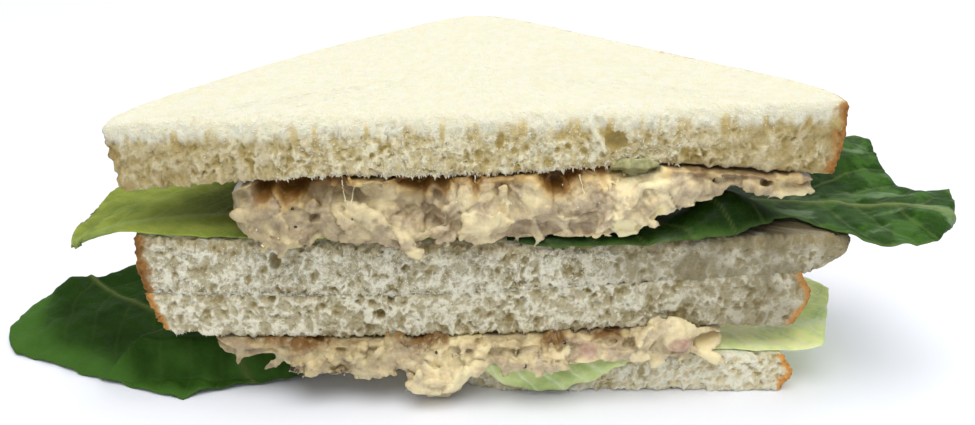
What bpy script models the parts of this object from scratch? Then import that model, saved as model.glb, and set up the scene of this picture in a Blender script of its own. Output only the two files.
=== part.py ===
"""A tuna salad sandwich on white bread, cut corner to corner, with its two halves stacked.

From the table up: a slice, lettuce, tuna salad and a slice make the lower half, and the
upper half repeats them. Both knife cuts face -Y, and the square corner points to +Y.

Every function works in millimetres, and MM turns a finished mesh into Blender's metres.
The origin is on the underside of the lowest slice.
"""

import math
from dataclasses import dataclass

import bmesh
import bpy
import numpy as np

MM = 0.001
GAP = 0.4  # clear space between pieces that lie on each other

# The loaf: each slice is half of a square with rounded corners.
HALF_SIDE = 57.0  # half the width of a whole slice
SQUARENESS = 9.0  # power of the superellipse that the loaf's section follows
CUT_Y = -28.0  # the plane of the knife cut
STATIONS = (-75.0, -37.5, 0.0, 37.5, 75.0)  # where heights across the stack are given

# Heights of the layers along the cut, at the five stations.
BASE_TOP = (8.6, 9.0, 9.4, 9.8, 10.0)
LOWER_LID_BOTTOM = (15.2, 14.2, 15.0, 17.0, 16.8)
MIDDLE_SEAM = (25.3, 24.7, 25.6, 28.4, 31.2)
UPPER_BASE_TOP = (39.6, 37.6, 37.4, 38.8, 39.4)
UPPER_LID_BOTTOM = (49.4, 52.3, 53.0, 55.2, 52.4)
UPPER_LID_TOP = (64.4, 65.6, 66.6, 67.8, 69.4)

# Bread surfaces.
CRUMB_ROUGHNESS = 0.45  # how far the torn crumb stands in or out of the cut
CORNER_REACH = 9.0  # how far from a sharp corner the cut follows the crust's profile
CUT_POINTS, CRUST_POINTS = 40, 20  # points round a slice, along the cut and the crust
WALL_SHARES = (0.0, 0.33, 0.67, 1.0)  # rows of points up a slice's side
CORE_SHARES = (0.7, 0.35)  # rings of points across a slice's faces
STANDS_ON = (0, 10, 20)  # points round the lowest slice that touch the table, one at each corner
EDGE_CLEAR = 0.6  # how far the rest of its lower edge stands clear of the table
SEAM_ROUND = 0.5  # radius of the edges where the two halves press on each other

# Lettuce.
LEAF_THICK = 0.8
LEAF_LIFT = 0.5  # space between a leaf's underside and the bread that it lies on
LEAF_COLUMNS = 22  # rows of points from one end of a leaf to the other

# Tuna salad.
HEAP_STEP = 2.6  # distance between a heap's cross-sections
HEAP_TAPER = 5.0  # length over which a heap closes at its ends
SHORT_OF_CRUST = 7.0  # how far inside the crust the filling stops
CLEAR_OF_CUT = 0.9  # the least distance of hanging tuna in front of the crumb
LEAST_HANG = 0.8  # thickness of a hanging lump at its lower edge
HANG_SHARE = 0.45  # how much thicker that edge is for each millimetre that the lump hangs
FRONT_SHARES = (0.0, 0.08, 0.2, 0.34, 0.5, 0.66, 0.8, 0.92, 1.0)
HOLLOW = 2.4  # how far the front falls back where no lump stands out
CLUMPING = 0.55  # uneven set of the flakes at the front of a heap
TUNA_COLOUR, TUNA_ROUGHNESS = (0.68, 0.53, 0.34), 0.55
SEED = 11


@dataclass
class Slice:
    name: str
    centre: tuple  # the loaf's centre, from the middle of the cut, in plan
    bottom: tuple  # heights at the stations
    top: tuple
    knife_round: float  # radius of the upper edge, where the knife dragged it down
    edge_round: float  # radius of every other edge
    left: tuple  # how far the crust stands out at the bottom, halfway and at the top, on the left
    right: tuple  # the same on the right
    recess: float = 0.0  # how far the cut falls back over its left half
    swell: float = 0.0  # how far the left side bulges out in plan

    @property
    def sides(self):
        return self.left, self.right


UPPER_LID = Slice(
    "bread_upper_lid", (-3.1, 1.5), UPPER_LID_BOTTOM, UPPER_LID_TOP, 4.4, 1.4,
    (-1.2, -0.4, 0.6), (0.1, 1.2, 1.3), swell=3.2,
)
UPPER_BASE = Slice(
    "bread_upper_base", (0.9, 2.4), MIDDLE_SEAM, UPPER_BASE_TOP, 2.2, 1.2,
    (0.6, 1.7, 1.5), (-5.5, 0.6, 1.8),
)
LOWER_LID = Slice(
    "bread_lower_lid", (-3.2, -5.9), LOWER_LID_BOTTOM, MIDDLE_SEAM, 1.2, 1.2,
    (-4.8, -2.9, -1.3), (-2.2, 0.4, -1.9),
)
BASE = Slice(
    "bread_base", (-6.4, -2.6), (0.0,) * 5, BASE_TOP, 1.4, 1.0,
    (0.4, 1.0, 0.4), (-1.2, 0.7, -1.4), recess=9.0,
)


@dataclass
class Lump:
    """One lump of a heap's front: half an ellipsoid that stands out of the cut."""

    x: float
    z: float
    out: float
    half_x: float
    half_z: float


UPPER_LUMPS = (
    Lump(-45, 43.8, 5.0, 8.5, 6.2),
    Lump(-41, 40.4, 6.3, 5.0, 3.4),
    Lump(-27, 42.3, 5.5, 10.0, 4.6),
    Lump(-18, 40.2, 5.6, 6.0, 3.3),
    Lump(-22, 49.0, 1.5, 9.0, 4.0),
    Lump(-3.5, 49.5, 6.0, 6.5, 4.0),
    Lump(-2, 43.9, 7.0, 8.5, 6.0),
    Lump(12, 49.0, 4.0, 9.0, 6.0),
    Lump(15, 44.7, 4.5, 9.0, 3.0),
    Lump(26, 47.0, 6.5, 9.0, 6.2),
    Lump(36, 49.5, 4.5, 8.0, 4.4),
    Lump(42, 50.4, 3.0, 5.6, 3.2),
    Lump(57, 52.4, 2.4, 8.0, 2.6),
)
LOWER_LUMPS = (
    Lump(-53, 14.5, 3.5, 7.5, 4.4),
    Lump(-38, 11.0, 5.0, 8.0, 4.4),
    Lump(-26, 10.0, 5.5, 7.0, 4.6),
    Lump(-11, 5.0, 7.0, 7.2, 4.5),
    Lump(-16, 11.5, 4.0, 8.0, 4.5),
    Lump(-3, 12.5, 4.5, 7.0, 4.0),
    Lump(9, 12.5, 5.0, 9.0, 4.4),
    Lump(21, 13.0, 4.5, 7.0, 3.4),
    Lump(31, 13.5, 3.0, 6.0, 3.5),
    Lump(40, 15.5, 4.5, 7.0, 6.0),
)


@dataclass
class Flake:
    """A strand of tuna, or a piece of vegetable, fused to a heap."""

    at: tuple  # its middle: x, how far it stands out of the heap's front, z
    length: float
    half_width: float
    half_thick: float
    turn: float  # degrees that its length points up from +X
    swing: float  # degrees that its length points out from the cut


UPPER_FLAKES = (
    Flake((-17.5, 0.0, 38.2), 9.0, 1.5, 1.1, -28, 12),  # ragged tip under the second lump
    Flake((-51.0, 0.0, 44.8), 6.0, 1.6, 1.1, 170, 10),  # left end
    Flake((-33.0, 0.3, 47.5), 9.0, 1.3, 1.0, 75, 0),
    Flake((-25.0, 0.3, 45.5), 12.0, 1.7, 1.1, -22, 10),
    Flake((-37.5, 0.2, 45.5), 8.0, 1.8, 1.2, 60, 10),
    Flake((-8.0, 0.2, 43.5), 9.0, 1.5, 1.2, 100, 0),
    Flake((3.0, 0.2, 47.5), 10.0, 1.3, 1.2, 82, 0),
    Flake((12.0, 0.2, 46.5), 12.0, 1.8, 1.2, -24, 6),
    Flake((20.0, 0.3, 49.0), 11.0, 1.6, 1.2, 34, 4),
    Flake((24.0, 0.3, 44.5), 9.0, 1.6, 1.2, 62, 4),
    Flake((32.5, 0.2, 46.2), 9.0, 1.6, 1.1, 48, 6),
    Flake((41.0, 0.2, 51.6), 13.5, 1.8, 1.2, -5, 4),
    Flake((34.0, 0.2, 51.5), 9.0, 1.6, 1.0, 14, 6),
    Flake((64.2, 0.0, 49.9), 9.0, 1.2, 0.9, -8, 4),  # pale tip at the right
    Flake((55.0, 0.2, 51.4), 8.0, 1.2, 0.9, -18, 4),
    Flake((30.0, 0.45, 55.5), 11.0, 2.3, 0.9, 4, 0),  # celery that lies against the lid
)
LOWER_FLAKES = (
    Flake((-54.6, 0.0, 11.4), 6.5, 0.9, 0.8, 78, 0),  # hanging point
    Flake((-46.6, 0.0, 8.9), 10.5, 1.3, 0.8, 38, 12),  # flake that reaches down to the left
    Flake((-40.0, 0.2, 9.5), 8.0, 1.7, 1.0, -14, 8),
    Flake((-28.0, 0.2, 12.0), 8.0, 1.8, 1.1, 64, 4),
    Flake((-20.0, 0.2, 12.5), 8.0, 1.7, 1.1, 80, 0),
    Flake((-13.0, 0.2, 6.4), 11.0, 2.0, 1.3, 12, 6),
    Flake((-7.0, 0.2, 12.6), 9.0, 1.8, 1.2, -34, 6),
    Flake((4.0, 0.2, 13.0), 8.0, 1.7, 1.1, 48, 4),
    Flake((14.0, 0.2, 11.2), 9.0, 1.6, 1.1, -8, 8),
    Flake((22.5, 0.3, 13.4), 5.6, 2.4, 1.6, -8, 0),  # pink dice
    Flake((41.5, 0.3, 15.6), 7.6, 3.0, 1.7, 6, 0),  # pink dice
    Flake((34.0, 0.2, 16.2), 9.0, 1.7, 1.1, 66, 6),
    Flake((48.0, 0.2, 10.8), 11.5, 1.3, 0.9, -22, 8),  # tip that points to the right
)


# ---------------------------------------------------------------- shared formulas


def smooth(t):
    """0 below 0, 1 above 1, and an S-curve between."""
    t = np.clip(t, 0.0, 1.0)
    return t * t * (3.0 - 2.0 * t)


def curve(t, knots, values):
    """A smooth curve through values at the knots."""
    knots, values = np.asarray(knots, float), np.asarray(values, float)
    slopes = np.gradient(values, knots)
    t = np.clip(t, knots[0], knots[-1])
    i = np.clip(np.searchsorted(knots, t, side="right") - 1, 0, len(knots) - 2)
    span = knots[i + 1] - knots[i]
    s = (t - knots[i]) / span
    rise = s * s * (3.0 - 2.0 * s)
    leave = s * (1.0 - s) ** 2 * slopes[i] * span
    arrive = s * s * (1.0 - s) * slopes[i + 1] * span
    return values[i] * (1.0 - rise) + values[i + 1] * rise + leave - arrive


def along(x, heights):
    """Height of a layer at x, from its heights at the stations."""
    return curve(x, STATIONS, heights)


def path(t, points):
    """A smooth path through points at equal steps of t, from 0 to 1."""
    points = np.asarray(points, float)
    knots = np.linspace(0.0, 1.0, len(points))
    return np.stack([curve(t, knots, column) for column in points.T], axis=-1)


def ripple(x, y, length):
    """An uneven wave, between -1 and 1, with humps about as long as length."""
    a = np.sin(6.28 * (0.9 * x + 0.45 * y) / length + 1.3)
    b = np.sin(6.28 * (0.7 * y - 0.55 * x) / length + 0.4)
    c = np.sin(6.28 * (1.35 * x + 1.1 * y) / length + 2.6)
    return (a + b + 0.6 * c) / 2.6


def cut_line(piece, x):
    """Where a slice's knife cut runs, which is straight unless its left half falls back."""
    return CUT_Y + piece.recess * smooth((8.0 - x) / 34.0)


def loaf_radius(piece, angle):
    """Distance from the loaf's centre to its crust, with the square's corners on the axes."""
    turned = angle - math.pi / 4
    power = np.abs(np.cos(turned)) ** SQUARENESS + np.abs(np.sin(turned)) ** SQUARENESS
    left_side = np.sin(np.clip(2.0 * angle - math.pi, 0.0, math.pi))
    return HALF_SIDE / power ** (1.0 / SQUARENESS) + piece.swell * left_side


def outside(piece, x, y):
    """How far a point lies outside a slice in plan, and less than 0 inside it."""
    dx, dy = x - piece.centre[0], y - CUT_Y - piece.centre[1]
    beyond_crust = np.hypot(dx, dy) - loaf_radius(piece, np.arctan2(dy, dx))
    return np.maximum(0.75 * beyond_crust, cut_line(piece, x) - y)


def evenly(points, count):
    """The same open line with count points at equal distances."""
    steps = np.hypot(*np.diff(points, axis=0).T)
    walked = np.concatenate([[0.0], np.cumsum(steps)])
    wanted = np.linspace(0.0, walked[-1], count)
    return np.stack([np.interp(wanted, walked, column) for column in points.T], axis=-1)


# ---------------------------------------------------------------- making meshes


def mesh_of(name, vertices, faces, colour, roughness):
    """A named object from points in millimetres, facing outwards, with its own material."""
    mesh = bpy.data.meshes.new(name)
    mesh.from_pydata((np.asarray(vertices) * MM).tolist(), [], faces)
    shell = bmesh.new()
    shell.from_mesh(mesh)
    bmesh.ops.recalc_face_normals(shell, faces=shell.faces)
    shell.to_mesh(mesh)
    shell.free()
    material = bpy.data.materials.new(name)
    material.use_nodes = True
    surface = material.node_tree.nodes["Principled BSDF"]
    surface.inputs["Base Color"].default_value = (*colour, 1.0)
    surface.inputs["Roughness"].default_value = roughness
    mesh.materials.append(material)
    obj = bpy.data.objects.new(name, mesh)
    bpy.context.scene.collection.objects.link(obj)
    return obj


def tube_faces(rings, count):
    """Triangles of rings of count points each, closed by a point at both ends."""
    faces = []
    first, last = rings * count, rings * count + 1
    for i in range(count):
        j = (i + 1) % count
        faces.append((first, j, i))
        for ring in range(rings - 1):
            a, b = ring * count + i, ring * count + j
            faces.append((a, b, b + count))
            faces.append((a, b + count, a + count))
        faces.append(((rings - 1) * count + i, (rings - 1) * count + j, last))
    return faces


def fuse(obj, pieces):
    """Joins closed pieces to an object, as one body."""
    group = bpy.data.collections.new(obj.name + "_pieces")
    bpy.context.scene.collection.children.link(group)
    for piece in pieces:
        bpy.context.scene.collection.objects.unlink(piece)
        group.objects.link(piece)
    union = obj.modifiers.new("union", "BOOLEAN")
    union.operation, union.solver, union.operand_type = "UNION", "MANIFOLD", "COLLECTION"
    union.collection = group
    bpy.context.view_layer.update()
    graph = bpy.context.evaluated_depsgraph_get()
    joined = bpy.data.meshes.new_from_object(obj.evaluated_get(graph))
    obj.modifiers.clear()
    obj.data = joined
    for piece in pieces:
        bpy.data.objects.remove(piece)
    bpy.data.collections.remove(group)


# ---------------------------------------------------------------- bread


def slice_outline(piece):
    """(points, outward directions) round a slice in plan, by the crust, from its right corner."""
    angles = np.linspace(-0.3, math.pi + 0.3, 900)
    radii = loaf_radius(piece, angles)
    x = piece.centre[0] + radii * np.cos(angles)
    y = CUT_Y + piece.centre[1] + radii * np.sin(angles)
    kept = y > cut_line(piece, x)
    crust = evenly(np.stack([x[kept], y[kept]], axis=-1), CRUST_POINTS + 1)
    across = np.linspace(crust[-1, 0], crust[0, 0], CUT_POINTS + 1)
    cut = np.stack([across, cut_line(piece, across)], axis=-1)
    points = np.concatenate([crust[:-1], cut[:-1]])
    ahead = np.roll(points, -1, axis=0) - np.roll(points, 1, axis=0)
    outward = np.stack([ahead[:, 1], -ahead[:, 0]], axis=-1)
    return points, outward / np.hypot(*outward.T)[:, None]


def make_slice(piece, rng):
    """A slice of bread: rings of points that climb its side, closed by its two faces."""
    outline, outward = slice_outline(piece)
    heart = np.array([piece.centre[0], CUT_Y + 24.0])
    reach = ((outline - heart) * outward).sum(axis=1)
    on_cut = np.arange(len(outline)) >= CRUST_POINTS
    ends = outline[[0, CRUST_POINTS], 0]
    from_corner = np.abs(outline[:, :1] - ends).min(axis=1)
    pressed_below, pressed_above = (face is MIDDLE_SEAM for face in (piece.bottom, piece.top))
    low_round = np.full(len(outline), SEAM_ROUND if pressed_below else piece.edge_round)
    dragged = smooth(from_corner / 30.0) * on_cut
    high_round = piece.edge_round + (piece.knife_round - piece.edge_round) * dragged
    if pressed_above:
        high_round[:] = SEAM_ROUND
    eased = 1.0 - math.sqrt(0.5)
    lift, sink = GAP / 2 * pressed_below, GAP / 2 * pressed_above

    near_corner = smooth(1.0 - from_corner / CORNER_REACH)[:, None]
    sideways = np.column_stack([np.sign(outline[:, 0] - heart[0]), np.zeros(len(outline))])
    slide = sideways * near_corner + outward * (1.0 - near_corner) * ~on_cut[:, None]
    rightness = smooth(0.5 + (outline[:, 0] - heart[0]) / 40.0)

    def ring(inward, share, rise, on_side=True):
        """The outline drawn in by inward, at a share of the slice's height plus rise.

        Rings on the side also follow the profiles of the crust.
        """
        plan = heart + (outline - heart) * (1.0 - inward / reach)[:, None]
        if on_side:
            left, right = (curve(share, (0.0, 0.5, 1.0), side) for side in piece.sides)
            plan += slide * (left + (right - left) * rightness)[:, None]
        low = along(plan[:, 0], piece.bottom) + lift
        high = along(plan[:, 0], piece.top) - sink
        return np.column_stack([plan, low + (high - low) * share + rise])

    rings = [ring(reach * (1.0 - share), 0.0, 0.0, False) for share in reversed(CORE_SHARES)]
    clear = np.full(len(outline), EDGE_CLEAR if piece is BASE else 0.0)
    clear[list(STANDS_ON)] = 0.0
    rings.append(ring(low_round, 0.0, clear))
    for share in WALL_SHARES:
        torn = CRUMB_ROUGHNESS * rng.uniform(-1.0, 1.0, len(outline)) * on_cut
        rings.append(ring(-torn, share, (1.0 - share) * low_round - share * high_round))
    rings.append(ring(eased * high_round, 1.0, -eased * high_round))
    rings.append(ring(high_round, 1.0, 0.0))
    rings += [ring(reach * (1.0 - share), 1.0, 0.0, False) for share in CORE_SHARES]
    middle = along(heart[0], piece.bottom) + lift, along(heart[0], piece.top) - sink
    vertices = np.concatenate([*rings, [(*heart, z) for z in middle]])
    faces = tube_faces(len(rings), len(outline))
    return mesh_of(piece.name, vertices, faces, (0.86, 0.80, 0.66), 0.9)


# ---------------------------------------------------------------- lettuce


@dataclass
class Leaf:
    name: str
    near: tuple  # plan points of the margin that faces the cut, measured from the cut
    spine: tuple  # plan points of the line midway between the margins
    far: tuple  # plan points of the margin at the back
    across: tuple  # where the rows of points lie, from the near margin to the far one
    crowd: float  # above 1, its columns of points lie closer towards its torn end
    ruffle: float  # height of the waves at its free margin
    colour: tuple


UPPER_PALE = Leaf(
    "lettuce_upper_pale",
    (
        (-87, -4), (-84, -2), (-81, -0.4), (-74, -0.2), (-60, -0.6), (-50, 0.2), (-34, 0.6),
        (-18, 1.0), (-4, 2),
    ),
    (
        (-87.3, -1), (-86.6, 4), (-85, 9.5), (-79, 15), (-63, 17), (-48, 18), (-33, 18.5),
        (-18, 19), (-5, 20),
    ),
    (
        (-87.2, 1.5), (-87.2, 9), (-87, 18), (-84.2, 27.4), (-68, 33), (-51, 37), (-34, 38),
        (-18, 38), (-6, 38),
    ),
    (0.0, 0.12, 0.26, 0.42, 0.6, 0.8, 1.0),
    1.0,
    0.7,
    (0.35, 0.50, 0.14),
)
UPPER_DARK = Leaf(
    "lettuce_upper_dark",
    (
        (4, 0), (16, -2), (29, -2.2), (41, -1.8), (52, -1.8), (59, 1), (66, 6), (73, 1),
        (81, -6), (91, -5.5), (97, 0), (102, 10),
    ),
    (
        (6, 18), (18, 19), (31, 20), (43, 21), (54, 22), (63, 23), (71, 22), (79, 18),
        (87, 14), (94, 10), (99, 9), (103.5, 14),
    ),
    (
        (8, 36), (20, 38), (33, 39), (46, 39), (58, 38), (69, 38), (79, 40), (86, 42.5),
        (91.5, 40), (92, 29), (94, 20.5), (104.5, 18.5),
    ),
    (0.0, 0.05, 0.12, 0.24, 0.38, 0.5, 0.66, 0.84, 1.0),
    1.0,
    1.6,
    (0.05, 0.17, 0.04),
)
LOWER_DARK = Leaf(
    "lettuce_lower_dark",
    (
        (-114, 42.5), (-117.5, 35), (-118, 26), (-113.5, 16), (-102, 10.5), (-91.5, 5),
        (-83, 1.5), (-75, -1.5), (-68, -4),
    ),
    (
        (-111, 46.5), (-105.5, 42.5), (-100, 39), (-93, 34.5), (-85, 28), (-76, 20), (-68, 12),
        (-61, 5), (-55, 1.0),
    ),
    (
        (-106, 50), (-102.5, 51.5), (-97, 55), (-86, 57), (-70, 53), (-52, 45), (-36, 34),
        (-25, 20), (-31, 5.0),
    ),
    (0.0, 0.12, 0.26, 0.4, 0.5, 0.62, 0.76, 0.9, 1.0),
    1.5,
    1.5,
    (0.04, 0.14, 0.04),
)
LOWER_PALE = Leaf(
    "lettuce_lower_pale",
    (
        (-4, -3), (4, -7), (12, -9.5), (20, -8.5), (27, -5), (33, -1), (43, 1.2), (54, 1.0),
        (65, 0.4), (75, 0.8),
    ),
    (
        (-5, 14), (4, 15), (14, 16), (24, 17), (35, 17.5), (46, 18), (57, 18), (67, 17),
        (74.5, 16), (79.5, 15),
    ),
    (
        (-6, 30), (5, 33), (17, 35), (29, 36), (41, 37), (53, 37), (64, 35), (73, 32),
        (79, 29), (83, 25),
    ),
    (0.0, 0.04, 0.08, 0.12, 0.16, 0.22, 0.34, 0.5, 0.72, 1.0),
    1.0,
    0.5,
    (0.42, 0.55, 0.22),
)


def fold_height(x, y):
    """The dark upper leaf's blister by the cut, between the two pieces of tuna."""
    across = (x - 50.0) / np.where(x < 50.0, 8.0, 10.0)
    depth = (y - CUT_Y - 4.0) / np.where(y < CUT_Y + 4.0, 4.6, 8.0)
    return 7.8 * np.exp(-(across**2) - depth**2)


def upper_pale_height(x, y):
    beyond = outside(UPPER_BASE, x, y)
    return along(x, UPPER_BASE_TOP) + LEAF_LIFT - 1.6 * smooth((beyond - 4.0) / 8.0)


def upper_dark_height(x, y):
    beyond = outside(UPPER_BASE, x, y)
    hung = 1.1 * smooth((CUT_Y - y) / 2.0) * smooth((62.0 - x) / 6.0)
    curled = 4.0 * smooth((y - CUT_Y - 20.0) / 20.0) * smooth((beyond - 2.0) / 10.0)
    return along(x, UPPER_BASE_TOP) + LEAF_LIFT + fold_height(x, y) - hung + curled


def lower_dark_height(x, y):
    on_bread = along(x, BASE_TOP) + LEAF_LIFT
    fall = smooth((outside(BASE, x, y) - 1.4) / 5.4)
    return on_bread + (0.5 - on_bread) * fall


def lower_pale_height(x, y):
    beyond = outside(BASE, x, y)
    return along(x, BASE_TOP) + LEAF_LIFT + 1.2 * smooth((beyond - 1.5) / 8.0) * smooth(x / 40.0)


BEND_FROM, BEND_RADIUS = 0.3, 1.0  # where a hanging leaf turns down over the cut's edge


def hang_over(points):
    """Turns what lies in front of the cut down over the bread's edge, by a quarter circle."""
    ahead = np.maximum(CUT_Y - BEND_FROM - points[..., 1], 0.0)
    angle = np.minimum(ahead / BEND_RADIUS, math.radians(84))
    rest = ahead - angle * BEND_RADIUS
    hung = points.copy()
    forward = BEND_RADIUS * np.sin(angle) + rest * np.cos(angle)
    hung[..., 1] += ahead - forward
    hung[..., 2] -= BEND_RADIUS * (1.0 - np.cos(angle)) + rest * np.sin(angle)
    return hung


def leaf_surface(leaf, home, height):
    """Points of a leaf's underside, and the upward direction square to it at each."""
    t = 1.0 - np.linspace(1.0, 0.0, LEAF_COLUMNS) ** leaf.crowd
    v = np.asarray(leaf.across)[None, :, None]
    near, spine, far = (path(t, line)[:, None] for line in (leaf.near, leaf.spine, leaf.far))
    plan = near * (1 - v) * (1 - 2 * v) + spine * 4 * v * (1 - v) + far * v * (2 * v - 1)
    x, y = plan[..., 0], plan[..., 1] + CUT_Y
    free = smooth((outside(home, x, y) - 3.0) / 12.0)
    near_is_flat = smooth(v[..., 0] / 0.4)
    waves = leaf.ruffle * free * near_is_flat * (1.0 + ripple(x, y, 24.0))
    points = np.stack([x, y, height(x, y) + waves], axis=-1)
    if leaf is LOWER_PALE:
        points = hang_over(points)
    square = np.cross(np.gradient(points, axis=0), np.gradient(points, axis=1))
    square /= np.linalg.norm(square, axis=-1, keepdims=True)
    turned = 1.0 if square[..., 2].mean() > 0 else -1.0
    return points, square * turned


def make_leaf(leaf, home, height):
    """A thin wavy sheet with both faces split into triangles alike."""
    under, square = leaf_surface(leaf, home, height)
    over = under + square * LEAF_THICK
    vertices = np.concatenate([under.reshape(-1, 3), over.reshape(-1, 3)])
    return mesh_of(leaf.name, vertices, leaf_faces(len(leaf.across)), leaf.colour, 0.45)


def leaf_faces(rows):
    """Triangles of both faces and of the rim between them."""
    count = LEAF_COLUMNS * rows
    faces = []
    for i in range(LEAF_COLUMNS - 1):
        for j in range(rows - 1):
            a = i * rows + j
            b, c, d = a + rows, a + rows + 1, a + 1
            faces += [(a, c, b), (a, d, c)]
            faces += [(a + count, b + count, c + count), (a + count, c + count, d + count)]
    rim = [i * rows for i in range(LEAF_COLUMNS)]
    rim += [(LEAF_COLUMNS - 1) * rows + j for j in range(1, rows)]
    rim += [i * rows + rows - 1 for i in reversed(range(LEAF_COLUMNS - 1))]
    rim += list(reversed(range(1, rows - 1)))
    for a, b in zip(rim, rim[1:] + rim[:1]):
        faces += [(a, b, b + count), (a, b + count, a + count)]
    return faces


# ---------------------------------------------------------------- tuna salad


@dataclass
class Heap:
    name: str
    start: float  # x of its left end
    end: float
    lumps: tuple
    flakes: tuple
    roof: tuple  # heights of the bread above, at the stations
    floor: tuple  # heights of the bread below
    proud: tuple  # (x, half width, height) of a lump that stands up in front of the bread above
    pushed: tuple  # (x from, x to, distance) that a hanging leaf pushes the front outwards
    notch: tuple  # (x, half width, depth) of the gap in its front
    raised: tuple  # (x, height) points of how far its underside stands off the leaf


UPPER_HEAP = Heap(
    "tuna_upper", -54.0, 68.0, UPPER_LUMPS, UPPER_FLAKES, UPPER_LID_BOTTOM, UPPER_BASE_TOP,
    (0.0, 1.0, 0.0), (0.0, 0.0, 0.0), (49.0, 2.6, 3.0),
    (
        (31, 0), (33, 1.4), (35.5, 4.6), (38, 5.6), (43, 5.9), (46.5, 8.2), (48.2, 10.4),
        (49.5, 11.1), (52, 10.5), (56, 9.3), (60.5, 8.2), (65.5, 7.6), (68, 7.6),
    ),
)
LOWER_HEAP = Heap(
    "tuna_lower", -60.5, 52.0, LOWER_LUMPS, LOWER_FLAKES, LOWER_LID_BOTTOM, BASE_TOP,
    (39.5, 7.0, 4.6), (-6.0, 36.0, 1.7), (0.0, 1.0, 0.0), ((0, 0), (1, 0)),
)


def stands_out(lumps, x, z):
    """How far the lumps stand out of the cut at (x, z)."""
    out = np.zeros(np.broadcast(x, z).shape)
    for lump in lumps:
        inside = 1.0 - ((x - lump.x) / lump.half_x) ** 2 - ((z - lump.z) / lump.half_z) ** 2
        out = np.maximum(out, lump.out * np.sqrt(np.maximum(inside, 0.0)))
    return out


def lowest(lumps, x, floor):
    """The lower edge of the heap's front at x."""
    low = floor
    for lump in lumps:
        inside = 1.0 - ((x - lump.x) / lump.half_x) ** 2
        bottom = lump.z - lump.half_z * math.sqrt(max(inside, 0.0))
        if inside > 0.0:
            low = min(low, bottom)
    return low


@dataclass
class Front:
    """The limits of a heap's front at one x."""

    lid: float  # top of the filling, under the bread above
    seat: float  # its underside, over the lettuce
    high: float  # upper edge of the front
    low: float  # lower edge of the front
    wall: float  # y of the front where no lump stands out
    hollow: float  # how far the front falls back between lumps


def front_at(heap, x):
    lid = along(x, heap.roof) - GAP
    seat = along(x, heap.floor) + LEAF_LIFT + LEAF_THICK + GAP
    seat = seat + float(np.interp(x, *zip(*heap.raised)))
    proud_x, proud_half, proud_height = heap.proud
    high = lid + proud_height * float(smooth(1.6 - 1.6 * abs(x - proud_x) / proud_half))
    push_from, push_to, push = heap.pushed
    pushed = push * float(smooth((x - push_from) / 3.0) * smooth((push_to - x) / 3.0))
    notch_x, notch_half, notch_depth = heap.notch
    notch = notch_depth * float(smooth(1.5 - 1.5 * abs(x - notch_x) / notch_half))
    low = lowest(heap.lumps, x, seat)
    return Front(lid, seat, high, low, CUT_Y - CLEAR_OF_CUT - pushed, HOLLOW + notch + pushed)


def front_y(heap, front, x, z, uneven):
    """How far forward a heap's front comes at (x, z)."""
    within = smooth((z - front.seat - 0.4) / 1.5) * smooth((front.lid - 0.4 - z) / 1.2)
    share = np.clip((front.high - z) / (front.high - front.low), 0.0, 1.0)
    rounding = 1.0 - np.abs(2.0 * share - 1.0) ** 5
    out = stands_out(heap.lumps, x, z) * rounding + uneven * (rounding > 0.2)
    least = LEAST_HANG + HANG_SHARE * min(front.seat - front.low, 4.0)
    return front.wall + front.hollow * within - np.maximum(out, least * (1.0 - within))


def heap_ring(heap, x, rng):
    """(y, z) round a heap's cross-section at x, from under the bread above, by the front."""
    front = front_at(heap, x)
    z = front.high + (front.low - front.high) * np.asarray(FRONT_SHARES)
    uneven = CLUMPING * rng.uniform(-1.0, 1.0, len(z))
    face = list(zip(front_y(heap, front, x, z, uneven), z))
    inside = CUT_Y + 1.5
    back = CUT_Y + min(max(75.0 - SHORT_OF_CRUST - abs(x + 2.0), 4.5), 58.0)
    deep = (inside + back) / 2
    lid, seat = front.lid, front.seat
    corner = min(1.2, 0.3 * (lid - seat))
    under = [(front.wall, seat), (inside, seat), (deep, seat), (back, seat + corner)]
    over = [(back + 0.8, (lid + seat) / 2), (back, lid - corner)]
    over += [(deep, lid - 0.4), (inside, lid - 0.4), (front.wall, lid)]
    return np.array(face + under + over)


def make_heap(heap, rng):
    """A heap of tuna salad: cross-sections along X, closed at its ends, with flakes fused on."""
    count = round((heap.end - heap.start) / HEAP_STEP) + 1
    rings = []
    for x in np.linspace(heap.start, heap.end, count):
        front = front_at(heap, float(x))
        from_end = min(x - heap.start, heap.end - x) + 0.6
        open_share = math.sqrt(1.0 - (1.0 - min(from_end / HEAP_TAPER, 1.0)) ** 2)
        heart = np.array([CUT_Y + 2.2, (front.lid + front.seat) / 2])
        ring = heart + (heap_ring(heap, float(x), rng) - heart) * open_share
        rings.append(np.column_stack([np.full(len(ring), x), ring]))
    ends = [rings[0].mean(axis=0), rings[-1].mean(axis=0)]
    vertices = np.concatenate([*rings, ends])
    faces = tube_faces(len(rings), len(rings[0]))
    obj = mesh_of(heap.name, vertices, faces, TUNA_COLOUR, TUNA_ROUGHNESS)
    fuse(obj, [make_flake(heap, flake, rng) for flake in heap.flakes])


FLAKE_SECTION = 7  # points round a flake
FLAKE_RINGS = ((0.12, 0.55), (0.38, 1.0), (0.66, 0.9), (0.88, 0.5))  # (share of length, of width)


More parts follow.
